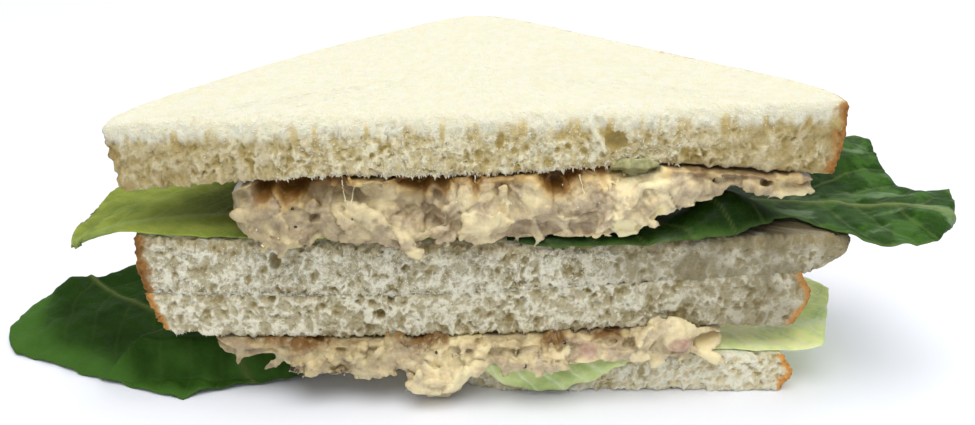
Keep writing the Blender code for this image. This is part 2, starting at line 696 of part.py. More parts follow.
def make_flake(heap, flake, rng):
    """A tapered strand with a pointed end, laid on the front of a heap."""
    turn, swing = math.radians(flake.turn), math.radians(flake.swing)
    level = math.cos(swing)
    ahead = np.array([math.cos(turn) * level, -math.sin(swing), math.sin(turn) * level])
    aside = np.cross(ahead, (0.0, 1.0, 0.0))
    aside /= np.linalg.norm(aside)
    out = np.cross(ahead, aside)
    x, proud, z = flake.at
    middle = np.array([x, front_y(heap, front_at(heap, x), x, z, 0.0) - proud, z])
    angles = np.linspace(0.0, 2 * math.pi, FLAKE_SECTION, endpoint=False)
    rings = []
    for share, width in FLAKE_RINGS:
        uneven = width * rng.uniform(0.85, 1.1, FLAKE_SECTION)
        centre = middle + ahead * flake.length * (share - 0.5)
        wide = np.cos(angles) * uneven * flake.half_width
        thick = np.sin(angles) * uneven * flake.half_thick
        rings.append(centre + wide[:, None] * aside + thick[:, None] * out)
    tips = [middle - ahead * flake.length / 2, middle + ahead * flake.length / 2]
    vertices = np.concatenate([*rings, tips])
    faces = tube_faces(len(rings), FLAKE_SECTION)
    return mesh_of(heap.name + "_flake", vertices, faces, TUNA_COLOUR, TUNA_ROUGHNESS)


def main():
    for obj in list(bpy.data.objects):
        bpy.data.objects.remove(obj)
    rng = np.random.default_rng(SEED)
    for piece in (BASE, LOWER_LID, UPPER_BASE, UPPER_LID):
        make_slice(piece, rng)
    make_leaf(LOWER_DARK, BASE, lower_dark_height)
    make_leaf(LOWER_PALE, BASE, lower_pale_height)
    make_leaf(UPPER_PALE, UPPER_BASE, upper_pale_height)
    make_leaf(UPPER_DARK, UPPER_BASE, upper_dark_height)
    make_heap(LOWER_HEAP, rng)
    make_heap(UPPER_HEAP, rng)


main()
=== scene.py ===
"""A tuna salad sandwich on white bread, cut corner to corner, with its two halves stacked.

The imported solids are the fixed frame, and every piece here replaces one of them or lies on it.
The knife cuts face -Y, the square corner of the loaf points to +Y and the table is at zero.
Shapes are worked out in millimetres as whole arrays, and MM turns them into metres at the end.
"""

import math
from dataclasses import dataclass

import bmesh
import bpy
import numpy as np
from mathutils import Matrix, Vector
from mathutils.bvhtree import BVHTree


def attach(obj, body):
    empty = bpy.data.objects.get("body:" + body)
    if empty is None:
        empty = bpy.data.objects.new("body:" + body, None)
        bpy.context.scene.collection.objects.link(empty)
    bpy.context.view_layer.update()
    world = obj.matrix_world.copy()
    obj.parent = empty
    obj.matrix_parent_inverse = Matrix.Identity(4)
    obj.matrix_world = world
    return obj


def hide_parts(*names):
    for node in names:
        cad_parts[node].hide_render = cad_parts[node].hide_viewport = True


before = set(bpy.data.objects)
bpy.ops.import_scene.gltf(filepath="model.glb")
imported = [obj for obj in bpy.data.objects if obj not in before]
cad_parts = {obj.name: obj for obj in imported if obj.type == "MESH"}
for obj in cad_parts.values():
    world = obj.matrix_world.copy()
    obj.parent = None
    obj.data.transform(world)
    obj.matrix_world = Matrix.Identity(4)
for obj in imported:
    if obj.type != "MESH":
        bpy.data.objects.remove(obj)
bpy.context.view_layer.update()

bl_info = {
    "name": "Tuna Salad Sandwich",
    "version": (1, 0, 0),
    "blender": (4, 5, 0),
    "location": "View3D > Sidebar > Sandwich",
    "description": "Builds the bread, lettuce and tuna salad of a cut sandwich around its solids",
    "category": "Add Mesh",
}

MM = 0.001
TAU = 2.0 * math.pi

# ---------------------------------------------------------------- sizes of the stack

HALF_SIDE = 57.0  # half the width of a whole slice
SQUARENESS = 9.0  # power of the superellipse that the loaf's section follows
CUT_Y = -28.0  # the plane of the knife cut
INRADIUS = 31.0  # radius of the largest circle inside a slice
STATIONS = (-75.0, -37.5, 0.0, 37.5, 75.0)  # where heights across the stack are given
BASE_TOP = (8.6, 9.0, 9.4, 9.8, 10.0)
LOWER_LID_BOTTOM = (15.2, 14.2, 15.0, 17.0, 16.8)
MIDDLE_SEAM = (25.3, 24.7, 25.6, 28.4, 31.2)
UPPER_BASE_TOP = (39.6, 37.6, 37.4, 38.8, 39.4)
UPPER_LID_BOTTOM = (49.4, 52.3, 53.0, 55.2, 52.4)
UPPER_LID_TOP = (64.4, 65.6, 66.6, 67.8, 69.4)
PRESSED_GAP = 0.04  # how far each of the two pressed faces keeps off the middle seam
CORNER_REACH = 9.0  # how far from a sharp corner the cut follows the crust's profile
LEAF_LIFT = 0.5  # space between a leaf's underside and the bread that it lies on


@dataclass
class Hole:
    """A large hole in a cut face: half an ellipsoid that goes in."""

    x: float
    z: float
    half_x: float
    half_z: float
    depth: float
    lean: float = 0.0  # degrees that its long side leans to the right


@dataclass
class Slice:
    """A slice of the loaf, with the form of its crust and the look of its crumb."""

    node: str
    centre: tuple
    bottom: tuple
    top: tuple
    knife_round: float  # radius of the upper edge along the cut, where the knife dragged it
    edge_round: float  # radius of the other edges
    left: tuple  # how far the crust stands out at the bottom, halfway and at the top, on the left
    right: tuple  # the same on the right
    seam_low: bool = False  # whether its underside is pressed against another slice
    seam_high: bool = False  # whether its upper face is
    recess: float = 0.0  # how far the left half of its cut falls back
    swell: float = 0.0  # how far its left side bulges
    stretch: float = 1.0  # how much taller than wide the holes of its cut are
    brown_left: float = 1.0  # how well the crust is browned on either side
    brown_right: float = 1.0
    bake: float = 1.0  # how light its crust is
    light: float = 1.0  # painted light: how much lighter the ground of its crumb is painted, for the light the slice gets
    warmth: float = 0.0  # how far its crumb turns from white to yellow
    shaded_end: tuple = (0.0, 1.0, 0.0)  # (x from, x to, share) of the right end, whose crumb is smoother and darkened by painted shade
    shade_at_ends: float = 0.0  # how far painted shade turns both of its ends ochre
    holes: tuple = ()
    ridges: tuple = ()  # (x, z) of both ends of torn walls that stand up from the cut


UPPER_LID = Slice(
    "bread_upper_lid", (-3.1, 1.5), UPPER_LID_BOTTOM, UPPER_LID_TOP, 4.4, 1.4,
    (-1.2, -0.4, 0.6), (0.1, 1.2, 1.3),
    swell=3.2, stretch=1.4, brown_left=0.12, bake=0.85, warmth=1.0, shade_at_ends=1.0,
    holes=(
        Hole(26.2, 60.6, 2.4, 2.2, 2.6, -10), Hole(23.4, 63.2, 1.3, 2.8, 1.1, -38),
        Hole(2.5, 60.7, 0.9, 2.0, 1.5, 8), Hole(5.4, 58.6, 0.8, 0.8, 1.0),
        Hole(7.9, 59.2, 0.6, 0.7, 0.9), Hole(14.2, 58.9, 0.7, 0.7, 1.0),
        Hole(19.7, 58.5, 0.9, 0.8, 1.1), Hole(16.4, 59.6, 0.7, 0.7, 0.9),
        Hole(14.9, 62.3, 1.9, 1.7, 0.6),
    ),
    ridges=(((20.6, 64.6), (22.4, 61.6)), ((22.4, 61.6), (24.0, 58.6))),
)
UPPER_BASE = Slice(
    "bread_upper_base", (0.9, 2.4), MIDDLE_SEAM, UPPER_BASE_TOP, 2.2, 1.2,
    (0.6, 1.7, 1.5), (-5.5, 0.6, 1.8),
    seam_low=True, stretch=1.35, brown_right=0.1, bake=0.64, warmth=0.1, shaded_end=(12.0, 46.0, 1.1),
    holes=(Hole(-45.4, 33.4, 1.3, 2.1, 2.0, 4), Hole(8.0, 33.5, 0.8, 1.2, 1.3, 10)),
)
LOWER_LID = Slice(
    "bread_lower_lid", (-3.2, -5.9), LOWER_LID_BOTTOM, MIDDLE_SEAM, 1.2, 1.2,
    (-4.8, -2.9, -1.3), (-2.2, 0.4, -1.9),
    seam_high=True, stretch=1.35, brown_right=0.8, bake=1.1, light=0.96, warmth=0.22,
    shaded_end=(24.0, 62.0, 0.85),
    holes=(Hole(-21.0, 23.9, 0.8, 1.6, 2.6, 18), Hole(-23.4, 20.2, 1.1, 1.3, 2.0, 30)),
)
BASE = Slice(
    "bread_base", (-6.4, -2.6), (0.0,) * 5, BASE_TOP, 1.4, 1.0,
    (0.4, 1.0, 0.4), (-1.2, 0.7, -1.4),
    recess=9.0, bake=1.5, light=1.36, warmth=0.1,
    holes=(Hole(34.5, 5.4, 0.8, 1.3, 1.2, 10),),
)
SLICES = (UPPER_LID, UPPER_BASE, LOWER_LID, BASE)

# ---------------------------------------------------------------- shared formulas


def smooth(t):
    """0 below 0, 1 above 1, and an S-curve between."""
    t = np.clip(t, 0.0, 1.0)
    return t * t * (3.0 - 2.0 * t)


def curve(t, knots, values):
    """A smooth curve through values at the knots: cubics with the values' own mean slopes."""
    knots, values = np.asarray(knots, float), np.asarray(values, float)
    slopes = np.gradient(values, knots)
    t = np.clip(t, knots[0], knots[-1])
    i = np.clip(np.searchsorted(knots, t, side="right") - 1, 0, len(knots) - 2)
    span = knots[i + 1] - knots[i]
    s = (t - knots[i]) / span
    rise = s * s * (3.0 - 2.0 * s)
    leave = s * (1.0 - s) ** 2 * slopes[i] * span
    arrive = s * s * (1.0 - s) * slopes[i + 1] * span
    return values[i] * (1.0 - rise) + values[i + 1] * rise + leave - arrive


def along(x, heights):
    """Height of a layer at x, from its heights at the stations."""
    return curve(x, STATIONS, heights)


def path(t, points):
    """A smooth path through points at equal steps of t, from 0 to 1."""
    points = np.asarray(points, float)
    knots = np.linspace(0.0, 1.0, len(points))
    return np.stack([curve(t, knots, column) for column in points.T], axis=-1)


def walked(line):
    """How far along an open line each of its points lies."""
    return np.concatenate([[0.0], np.cumsum(np.hypot(*np.diff(line, axis=0).T))])


def ripple(x, y, length):
    """An uneven wave, between -1 and 1, with humps about as long as length."""
    a = np.sin(TAU * (0.9 * x + 0.45 * y) / length + 1.3)
    b = np.sin(TAU * (0.7 * y - 0.55 * x) / length + 0.4)
    c = np.sin(TAU * (1.35 * x + 1.1 * y) / length + 2.6)
    return (a + b + 0.6 * c) / 2.6


def cut_line(piece, x):
    """Where a slice's knife cut runs, which is straight unless its left half falls back."""
    return CUT_Y + piece.recess * smooth((8.0 - x) / 34.0)


def by_cut(y, depth=5.0, width=4.0):
    """1 before the knife cut, falling to 0 over a width that ends at a depth behind the cut."""
    return smooth((CUT_Y + depth - y) / width)


def loaf_radius(piece, angle):
    """Distance from the loaf's centre to its crust, with the square's corners on the axes.

    The crust is a superellipse, whose powers of cosine and sine add up to one. Its left side
    swells out by a sine.
    """
    turned = angle - math.pi / 4
    power = np.abs(np.cos(turned)) ** SQUARENESS + np.abs(np.sin(turned)) ** SQUARENESS
    left_side = np.sin(np.clip(2.0 * angle - math.pi, 0.0, math.pi))
    return HALF_SIDE / power ** (1.0 / SQUARENESS) + piece.swell * left_side


def beyond_crust(piece, x, y):
    """How far a point lies outside the crust in plan, and less than 0 inside it.

    It is three quarters of the way along the ray from the centre, as most rays meet it aslant.
    """
    dx, dy = x - piece.centre[0], y - CUT_Y - piece.centre[1]
    return 0.75 * (np.hypot(dx, dy) - loaf_radius(piece, np.arctan2(dy, dx)))


def outside(piece, x, y):
    """How far a point lies outside a slice in plan, and less than 0 inside it."""
    return np.maximum(beyond_crust(piece, x, y), cut_line(piece, x) - y)


# ---------------------------------------------------------------- random patterns in space

NEIGHBOURS = np.array([(i, j, k) for i in (-1, 0, 1) for j in (-1, 0, 1) for k in (-1, 0, 1)])


def hashed(cells, salt):
    """A number from 0 to 1 for each whole-numbered cell, the same in every run."""
    i, j, k = (cells.astype(np.int64) & 0xFFFFFFFF).astype(np.uint32).T
    mixed = i * np.uint32(0x8DA6B343) ^ j * np.uint32(0xD8163841) ^ k * np.uint32(0xCB1AB31F)
    mixed ^= np.uint32(salt * 0x9E3779B9 & 0xFFFFFFFF)
    for shift, factor in ((15, 0x2C1B3C6D), (12, 0x297A2D39)):
        mixed ^= mixed >> np.uint32(shift)
        mixed *= np.uint32(factor)
    return (mixed ^ mixed >> np.uint32(15)) / 2.0**32


def noise(points, size, salt=0):
    """Smooth noise between -1 and 1: random values at cell corners, blended by S-curves."""
    cell = points / size
    low = np.floor(cell)
    share = smooth(cell - low)
    total = np.zeros(len(points))
    for corner in NEIGHBOURS[(NEIGHBOURS >= 0).all(axis=1)]:
        weight = np.where(corner, share, 1.0 - share).prod(axis=1)
        total += weight * hashed(low + corner, salt)
    return 2.0 * total - 1.0


def rough(points, size, octaves=3, salt=0):
    """Noise at a size and at finer ones, each half as large and half as strong."""
    layers = [noise(points, size / 2**n, salt + n) / 2**n for n in range(octaves)]
    return np.sum(layers, axis=0)


def flat_noise(x, y, size, salt):
    """Noise in plan, over whole grids of x and y."""
    plan = np.stack([x.ravel(), y.ravel(), np.zeros(x.size)], axis=-1)
    return noise(plan, size, salt).reshape(x.shape)


def balls_round(points, size, inset, salt):
    """For each of the 27 cells round the points: (the cell, the way there from its own middle).

    A cell's middle is random, but keeps off its sides by inset. Both are measured in cells.
    """
    scaled = points / size
    base = np.floor(scaled)
    for offset in NEIGHBOURS:
        cell = base + offset
        spread = np.stack([hashed(cell, salt + n) for n in range(3)], axis=-1)
        yield cell, scaled - (cell + inset + (1.0 - 2.0 * inset) * spread)


def bubbles(points, size, share, smallest, largest, salt):
    """How deep a point lies in the round hollows of a foam, where one cell in share holds one.

    The depth in a ball of radius r, at a distance d from its middle, is sqrt(r * r - d * d).
    """
    deepest = np.zeros(len(points))
    for cell, apart in balls_round(points, size, 0.15, salt + 2):
        radius = smallest + (largest - smallest) * hashed(cell, salt + 1) ** 2
        inside = radius**2 - (apart**2).sum(axis=1)
        there = hashed(cell, salt) < share
        deepest = np.maximum(deepest, np.sqrt(np.maximum(inside, 0.0)) * there)
    return deepest * size


def foam(points, size, thin, salt):
    """How deep a point lies in a foam of packed hollows, from 0 on a wall to about 1.

    Every cell holds a ball about as wide as the cell. Its own number sets how deep it is, and
    thin is the least depth, so that walls stay between neighbours.
    """
    deepest = np.zeros(len(points))
    for cell, apart in balls_round(points, size, 0.1, salt + 2):
        radius = 0.42 + 0.34 * hashed(cell, salt + 1)
        inside = 1.0 - (apart**2).sum(axis=1) / radius**2
        depth = thin + (1.0 - thin) * hashed(cell, salt + 5)
        deepest = np.maximum(deepest, np.sqrt(np.maximum(inside, 0.0)) * depth)
    return deepest


# ---------------------------------------------------------------- meshes


def mesh_object(name, points, faces, masks=None):
    """A smooth-shaded object from points in millimetres and a list of face arrays."""
    mesh = bpy.data.meshes.new(name)
    points = np.asarray(points, float).reshape(-1, 3) * MM
    mesh.vertices.add(len(points))
    mesh.vertices.foreach_set("co", points.ravel().astype(np.float32))
    corners = np.concatenate([group.ravel() for group in faces])
    sizes = np.concatenate([np.full(len(group), group.shape[1]) for group in faces])
    mesh.loops.add(len(corners))
    mesh.loops.foreach_set("vertex_index", corners.astype(np.int32))
    mesh.polygons.add(len(sizes))
    starts = np.concatenate([[0], np.cumsum(sizes)[:-1]])
    mesh.polygons.foreach_set("loop_start", starts.astype(np.int32))
    mesh.polygons.foreach_set("loop_total", sizes.astype(np.int32))
    mesh.polygons.foreach_set("use_smooth", np.ones(len(sizes), bool))
    mesh.update(calc_edges=True)
    mesh.validate()
    paint(mesh, masks or {})
    obj = bpy.data.objects.new(name, mesh)
    bpy.context.scene.collection.objects.link(obj)
    return obj


def paint(mesh, masks):
    """Stores named numbers, one for all points of a mesh or one for each, for its material."""
    for name, values in masks.items():
        layer = mesh.attributes.new(name, "FLOAT", "POINT")
        spread = np.broadcast_to(np.ravel(values), len(layer.data))
        layer.data.foreach_set("value", spread.astype(np.float32))


def read_points(mesh):
    """(points in millimetres, normals) of a mesh."""
    points, normals = (np.empty(len(mesh.vertices) * 3, np.float32) for _ in range(2))
    mesh.vertices.foreach_get("co", points)
    mesh.vertices.foreach_get("normal", normals)
    return points.reshape(-1, 3).astype(float) / MM, normals.reshape(-1, 3).astype(float)


def read_triangles(mesh):
    """The triangles of a mesh, as numbers of its points."""
    mesh.calc_loop_triangles()
    corners = np.empty(len(mesh.loop_triangles) * 3, np.int32)
    mesh.loop_triangles.foreach_get("vertices", corners)
    return corners.reshape(-1, 3)


def round_angles(count):
    """Angles at equal steps once round."""
    return np.linspace(0.0, TAU, count, endpoint=False)


def tube_faces(rings, count):
    """Faces of rings of count points each, closed by one point before them and one after."""
    ring, i = np.meshgrid(np.arange(rings - 1), np.arange(count), indexing="ij")
    a, b = (ring * count + i).ravel(), (ring * count + (i + 1) % count).ravel()
    i = np.arange(count)
    j = (i + 1) % count
    last = (rings - 1) * count
    start, end = np.full(count, rings * count), np.full(count, rings * count + 1)
    return [
        np.stack([a, b, b + count, a + count], axis=-1),
        np.stack([start, j, i], axis=-1),
        np.stack([last + i, last + j, end], axis=-1),
    ]


def sheet_faces(rows, columns):
    """Faces of a thin closed sheet: its underside's grid, its upper side's grid and the rim."""
    i, j = np.meshgrid(np.arange(rows - 1), np.arange(columns - 1), indexing="ij")
    a = (i * columns + j).ravel()
    b, c, d = a + columns, a + columns + 1, a + 1
    over = rows * columns
    under_faces = np.stack([a, d, c, b], axis=-1)
    over_faces = np.stack([a, b, c, d], axis=-1) + over
    rim = np.concatenate([
        np.arange(rows) * columns,
        (rows - 1) * columns + np.arange(1, columns),
        np.arange(rows - 2, -1, -1) * columns + columns - 1,
        np.arange(columns - 2, 0, -1),
    ])
    following = np.roll(rim, -1)
    rim_faces = np.stack([rim, following, following + over, rim + over], axis=-1)
    return [under_faces, over_faces, rim_faces]


def unit(vectors):
    """The same directions, each with a length of one."""
    return vectors / np.maximum(np.linalg.norm(vectors, axis=-1, keepdims=True), 1e-9)


def grid_normals(grid, closed):
    """Directions square to a grid of points, from the differences along its rows and columns."""
    down = np.gradient(grid, axis=0)
    if closed:
        across = (np.roll(grid, -1, axis=1) - np.roll(grid, 1, axis=1)) / 2.0
    else:
        across = np.gradient(grid, axis=1)
    return unit(np.cross(across, down))


def face_outwards(obj):
    """Turns a closed mesh's faces to point outwards."""
    shell = bmesh.new()
    shell.from_mesh(obj.data)
    bmesh.ops.recalc_face_normals(shell, faces=shell.faces)
    shell.to_mesh(obj.data)
    shell.free()


def place(obj, node, material, stands_for=True):
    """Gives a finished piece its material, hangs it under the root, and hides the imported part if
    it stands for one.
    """
    obj.data.materials.clear()
    obj.data.materials.append(material)
    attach(obj, "root")
    if stands_for:
        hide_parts(node)


# ---------------------------------------------------------------- materials


class Finish:
    """A procedural material, put together socket by socket in the object's own coordinates."""

    def __init__(self, name, **sockets):
        self.material = bpy.data.materials.new(name)
        self.material.use_nodes = True
        self.tree = self.material.node_tree
        self.surface = self.tree.nodes["Principled BSDF"]
        self.even(**sockets)
        self.place = self.tree.nodes.new("ShaderNodeTexCoord").outputs["Object"]

    def even(self, **sockets):
        """Sets sockets of the surface to the same value all over."""
        for socket, value in sockets.items():
            self.surface.inputs[socket.replace("_", " ")].default_value = value

    def feed(self, socket, value):
        """Links a socket of the surface to a value that varies."""
        self.tree.links.new(value, self.surface.inputs[socket])

    def node(self, kind, inputs=None, **settings):
        """A new node, whose inputs are linked to other sockets or set to plain values."""
        made = self.tree.nodes.new(kind)
        for name, value in settings.items():
            setattr(made, name, value)
        for socket, value in (inputs or {}).items():
            if isinstance(value, bpy.types.NodeSocket):
                self.tree.links.new(value, made.inputs[socket])
            else:
                made.inputs[socket].default_value = value
        return made

    def mask(self, name):
        """A number painted on the mesh."""
        return self.node("ShaderNodeAttribute", attribute_name=name).outputs["Fac"]

    def grain(self, size_mm, detail=3.0, roughness=0.55, stretch=None):
        """Noise between 0 and 1 with humps of a size in millimetres."""
        place = self.place
        if stretch:
            inputs = {0: place, 1: stretch}
            place = self.node("ShaderNodeVectorMath", inputs, operation="MULTIPLY").outputs[0]
        scale = 1.0 / (size_mm * MM)
        inputs = {"Vector": place, "Scale": scale, "Detail": detail, "Roughness": roughness}
        return self.node("ShaderNodeTexNoise", inputs).outputs["Fac"]

    def cells(self, size_mm, feature="F1"):
        """Distance to the nearest of scattered points, or to the borders between them."""
        inputs = {"Vector": self.place, "Scale": 1.0 / (size_mm * MM)}
        return self.node("ShaderNodeTexVoronoi", inputs, feature=feature).outputs["Distance"]

    def steps(self, value, low, high):
        """0 where a value is under low, 1 where it is over high, and an S-curve between."""
        inputs = {"Value": value, "From Min": low, "From Max": high}
        made = self.node("ShaderNodeMapRange", inputs, interpolation_type="SMOOTHSTEP")
        return made.outputs["Result"]

    def spots(self, size_mm, detail, low, high, **more):
        """Grain that is sharpened to spots by steps."""
        return self.steps(self.grain(size_mm, detail, **more), low, high)

    def sum(self, a, b, operation="ADD"):
        """Two values added, or joined by another operation."""
        return self.node("ShaderNodeMath", {0: a, 1: b}, operation=operation).outputs[0]

    def less(self, a, b):
        """The second value taken from the first."""
        return self.sum(a, b, "SUBTRACT")

    def times(self, a, b):
        """One value multiplied by another."""
        return self.sum(a, b, "MULTIPLY")

    def blend(self, share, a, b, kind="MIX"):
        """Colour a where share is 0 and colour b where it is 1."""
        a, b = (c if isinstance(c, bpy.types.NodeSocket) else (*c, 1.0) for c in (a, b))
        inputs = {0: share, 6: a, 7: b}
        return self.node("ShaderNodeMix", inputs, data_type="RGBA", blend_type=kind).outputs[2]

    def over(self, colour, other, mask, share):
        """A colour with another one laid over it, by a share of a mask."""
        return self.blend(self.times(mask, share), colour, other)

    def relief(self, *heights):
        """Bumps the surface by pairs of (height between 0 and 1, its depth in millimetres)."""
        normal = None
        for height, depth in heights:
            inputs = {"Height": height, "Distance": depth * MM, "Strength": 1.0}
            if normal:
                inputs["Normal"] = normal
            normal = self.node("ShaderNodeBump", inputs).outputs["Normal"]
        self.feed("Normal", normal)

    def scatter(self, weight, radius_mm):
        """Lets light soak in, by a radius in millimetres for red, green and blue."""
        self.even(Subsurface_Weight=weight, Subsurface_Radius=radius_mm, Subsurface_Scale=MM)


def crumb_finish(piece, settings):
    """Soft white crumb with ochre hollows, and a crust that browns towards its outside."""
    finish = Finish("crumb_of_" + piece.node, Roughness=0.95, Specular_IOR_Level=0.2)
    pore, crust, top, streak = (finish.mask(name) for name in ("pore", "crust", "top", "streak"))
    chosen = (settings.crumb_colour, settings.cream_colour, settings.hollow_colour)
    turn = np.array([(0.05, 0.02, -0.10), (0.31, 0.24, 0.03), (0.60, 0.55, 0.22)]) * piece.warmth
    # painted light: each slice's crumb painted lighter or darker for the light it gets
    light = np.array([min(piece.light, 1.04), piece.light, piece.light])[:, None]
    white, cream, ochre = np.array([tuple(colour) for colour in chosen]) * (1.0 + turn) * light
    speckle = finish.less(finish.grain(0.7, 4.0, 0.7), 0.5)
    patches = finish.less(finish.grain(4.0, 3.0), 0.5 - 0.05 * piece.warmth)
    mixed = finish.sum(finish.sum(pore, finish.times(speckle, 0.8)), finish.times(patches, 0.8))
    body = finish.blend(finish.steps(mixed, 0.0, 0.30), white, cream)
    body = finish.blend(finish.steps(mixed, 0.30, 0.74), body, ochre)
    # painted shade in the deepest hollows; the ochre before it is the crumb's own colour
    body = finish.blend(finish.steps(mixed, 0.72, 1.1), body, ochre * (0.76, 0.72, 0.60))
    body = finish.over(body, ochre * (1.1, 1.05, 0.9), streak, 0.7)
    # painted shade on the ends of the cut and on the upper base's top face by the leaf
    end_shade_colour = (0.41, 0.305, 0.115) if piece is UPPER_LID else (0.24, 0.20, 0.108)
    body = finish.over(body, end_shade_colour, finish.mask("shaded_end"), 0.82)
    # the lower slices' top face colour is a dark painted shade, laid on the upper base's top face
    # at its shaded right end
    face = np.array(settings.face_colour if piece is UPPER_LID else (0.15, 0.12, 0.062))
    mottle = finish.spots(2.2, 4.0, 0.35, 0.70, roughness=0.6)
    face = finish.blend(mottle, face, face * (0.97, 0.955, 0.86))
    body = finish.over(body, face, top, finish.less(1.0, finish.times(streak, 0.75)))
    baked = np.array(settings.crust_colour) * piece.bake
    toast = finish.grain(1.5, 4.0, 0.65)
    skin = finish.blend(finish.steps(toast, 0.32, 0.68), baked * 0.62, baked * 1.42)
    skin = finish.over(skin, baked * (0.70, 0.66, 0.60), finish.spots(9.0, 3.0, 0.35, 0.7), 0.4)
    skin = finish.blend(finish.steps(crust, 0.30, 0.9), baked * (1.25, 1.5, 1.9), skin)
    edge = finish.sum(crust, finish.times(finish.less(toast, 0.5), 1.1))
    finish.feed("Base Color", finish.blend(finish.steps(edge, 0.10, 0.62), body, skin))
    finish.relief((finish.grain(0.6, 4.0, 0.75), 0.34), (finish.cells(0.36), 0.16))
    finish.scatter(0.35, (1.3, 0.9, 0.5))
    return finish.material


# ---------------------------------------------------------------- bread

CRUST_DEPTH = 2.3  # how far the browned crust reaches into the crumb
CRUST_STEP = 3.4  # distance between points on the crust, in steps of those on the cut
SEAM_ROUND = 0.2  # radius of the edges that two pressed slices share


def evenly(points, count):
    """The same open line with count points at equal distances."""
    so_far = walked(points)
    wanted = np.linspace(0.0, so_far[-1], count)
    return np.stack([np.interp(wanted, so_far, column) for column in points.T], axis=-1)


OUTLINE_SAMPLES = 4000  # points of the loaf's outline before they are spaced evenly
PAST_AXIS = 0.3  # how far that outline runs past a half circle at each end, in radians


def slice_outline(piece, step):
    """(points, outward directions, whether on the cut, distance to the nearer sharp corner).

    The outline is the loaf's, as far as it lies behind the cut, and the line of the cut.
    """
    angles = np.linspace(-PAST_AXIS, math.pi + PAST_AXIS, OUTLINE_SAMPLES)
    radii = loaf_radius(piece, angles)
    x = piece.centre[0] + radii * np.cos(angles)
    y = CUT_Y + piece.centre[1] + radii * np.sin(angles)
    kept = y > cut_line(piece, x)
    crust_line = np.stack([x[kept], y[kept]], axis=-1)
    crust = evenly(crust_line, round(walked(crust_line)[-1] / (CRUST_STEP * step)))
    across = np.linspace(crust[-1, 0], crust[0, 0], round((crust[0, 0] - crust[-1, 0]) / step))
    cut = np.stack([across, cut_line(piece, across)], axis=-1)
    points = np.concatenate([crust[:-1], cut[:-1]])
    on_cut = np.arange(len(points)) >= len(crust) - 1
    ahead = np.roll(points, -1, axis=0) - np.roll(points, 1, axis=0)
    outward = np.stack([ahead[:, 1], -ahead[:, 0]], axis=-1)
    outward /= np.hypot(*outward.T)[:, None]
    from_corner = np.abs(points[:, :1] - crust[[0, -1], 0]).min(axis=1)
    return points, outward, on_cut, from_corner


def slice_rows(piece, low_round, high_round, height, step):
    """The rows of a slice's skin, from under its middle, up its side, to over its middle.

    Each row is (share of the way in to the middle, angle round the low edge, share of the
    side's height, angle round the high edge). A quarter turn ends each edge.
    """
    quarter = math.pi / 2
    low_steps = max(4, round(low_round * quarter / step))
    high_steps = max(4, round(high_round * quarter / step))
    side_steps = round((height - low_round - high_round) / step)
    inner = 1.0 - np.linspace(1.0, 0.0, 7)[1:] ** 1.6
    under = [(s, 0.0, 0.0, 0.0) for s in inner[::-1]]
    low = [(0.0, a, 0.0, 0.0) for a in np.linspace(0, quarter, low_steps, endpoint=False)]
    side = [(0.0, quarter, s, 0.0) for s in np.linspace(0, 1, side_steps)]
    high = [(0.0, quarter, 1.0, a) for a in np.linspace(0, quarter, high_steps)[1:]]
    over_steps = 40 if piece is UPPER_LID else 16
    inner = 1.0 - np.linspace(1.0, 0.0, over_steps)[1:] ** 1.5
    over = [(s, quarter, 1.0, quarter) for s in inner]
    return np.array(under + low + side + high + over)


def slice_grid(piece, step):
    """(points, depths under the crust's face, columns on the cut, rows) of a smooth slice.

    A row's outline is the slice's, drawn in towards the middle of its inscribed circle, which
    keeps every side at the same distance. An edge's profile is a quarter circle. The crust then
    slides in or out by the profiles of the two sides, and sideways near the sharp corners.
    """
    outline, outward, on_cut, from_corner = slice_outline(piece, step)
    middle = np.array([piece.centre[0] * 0.5, CUT_Y + INRADIUS])
    low_edge = SEAM_ROUND if piece.seam_low else piece.edge_round
    dragged = smooth(from_corner / 30.0) * on_cut
    high_edge = piece.edge_round + (piece.knife_round - piece.edge_round) * dragged
    if piece.seam_high:
        high_edge = np.full(len(outline), SEAM_ROUND)
    height = np.mean(piece.top) - np.mean(piece.bottom)
    rows = slice_rows(piece, low_edge, float(high_edge.max()), height, step)
    inner, low_turn, share, high_turn = (column[:, None] for column in rows.T)
    inward = low_edge * (1.0 - np.sin(low_turn)) + high_edge * (1.0 - np.cos(high_turn))
    inward = inward + (INRADIUS - inward) * inner
    shrink = (1.0 - inward / INRADIUS)[..., None]
    plan = middle + (outline - middle) * shrink
    crust_gap = -beyond_crust(piece, plan[..., 0], plan[..., 1])
    near_corner = smooth(1.0 - from_corner / CORNER_REACH)[:, None]
    sideways = np.stack([np.sign(outline[:, 0] - middle[0]), np.zeros(len(outline))], axis=-1)
    slide = sideways * near_corner + outward * (1.0 - near_corner) * ~on_cut[:, None]
    rightness = smooth(0.5 + (outline[:, 0] - middle[0]) / 40.0)
    left, right = (curve(share, (0.0, 0.5, 1.0), side) for side in (piece.left, piece.right))
    stand_out = (left + (right - left) * rightness) * (1.0 - inner) ** 2
    plan = plan + slide * stand_out[..., None]
    low = along(plan[..., 0], piece.bottom) + PRESSED_GAP * piece.seam_low
    high = along(plan[..., 0], piece.top) - PRESSED_GAP * piece.seam_high
    rise = low_edge * (1.0 - np.cos(low_turn)) * (1.0 - share)
    drop = high_edge * (1.0 - np.sin(high_turn)) * share
    z = low + (high - low) * share + rise - drop
    grid = np.concatenate([plan, z[..., None]], axis=-1)
    return grid, crust_gap.ravel(), on_cut, rows


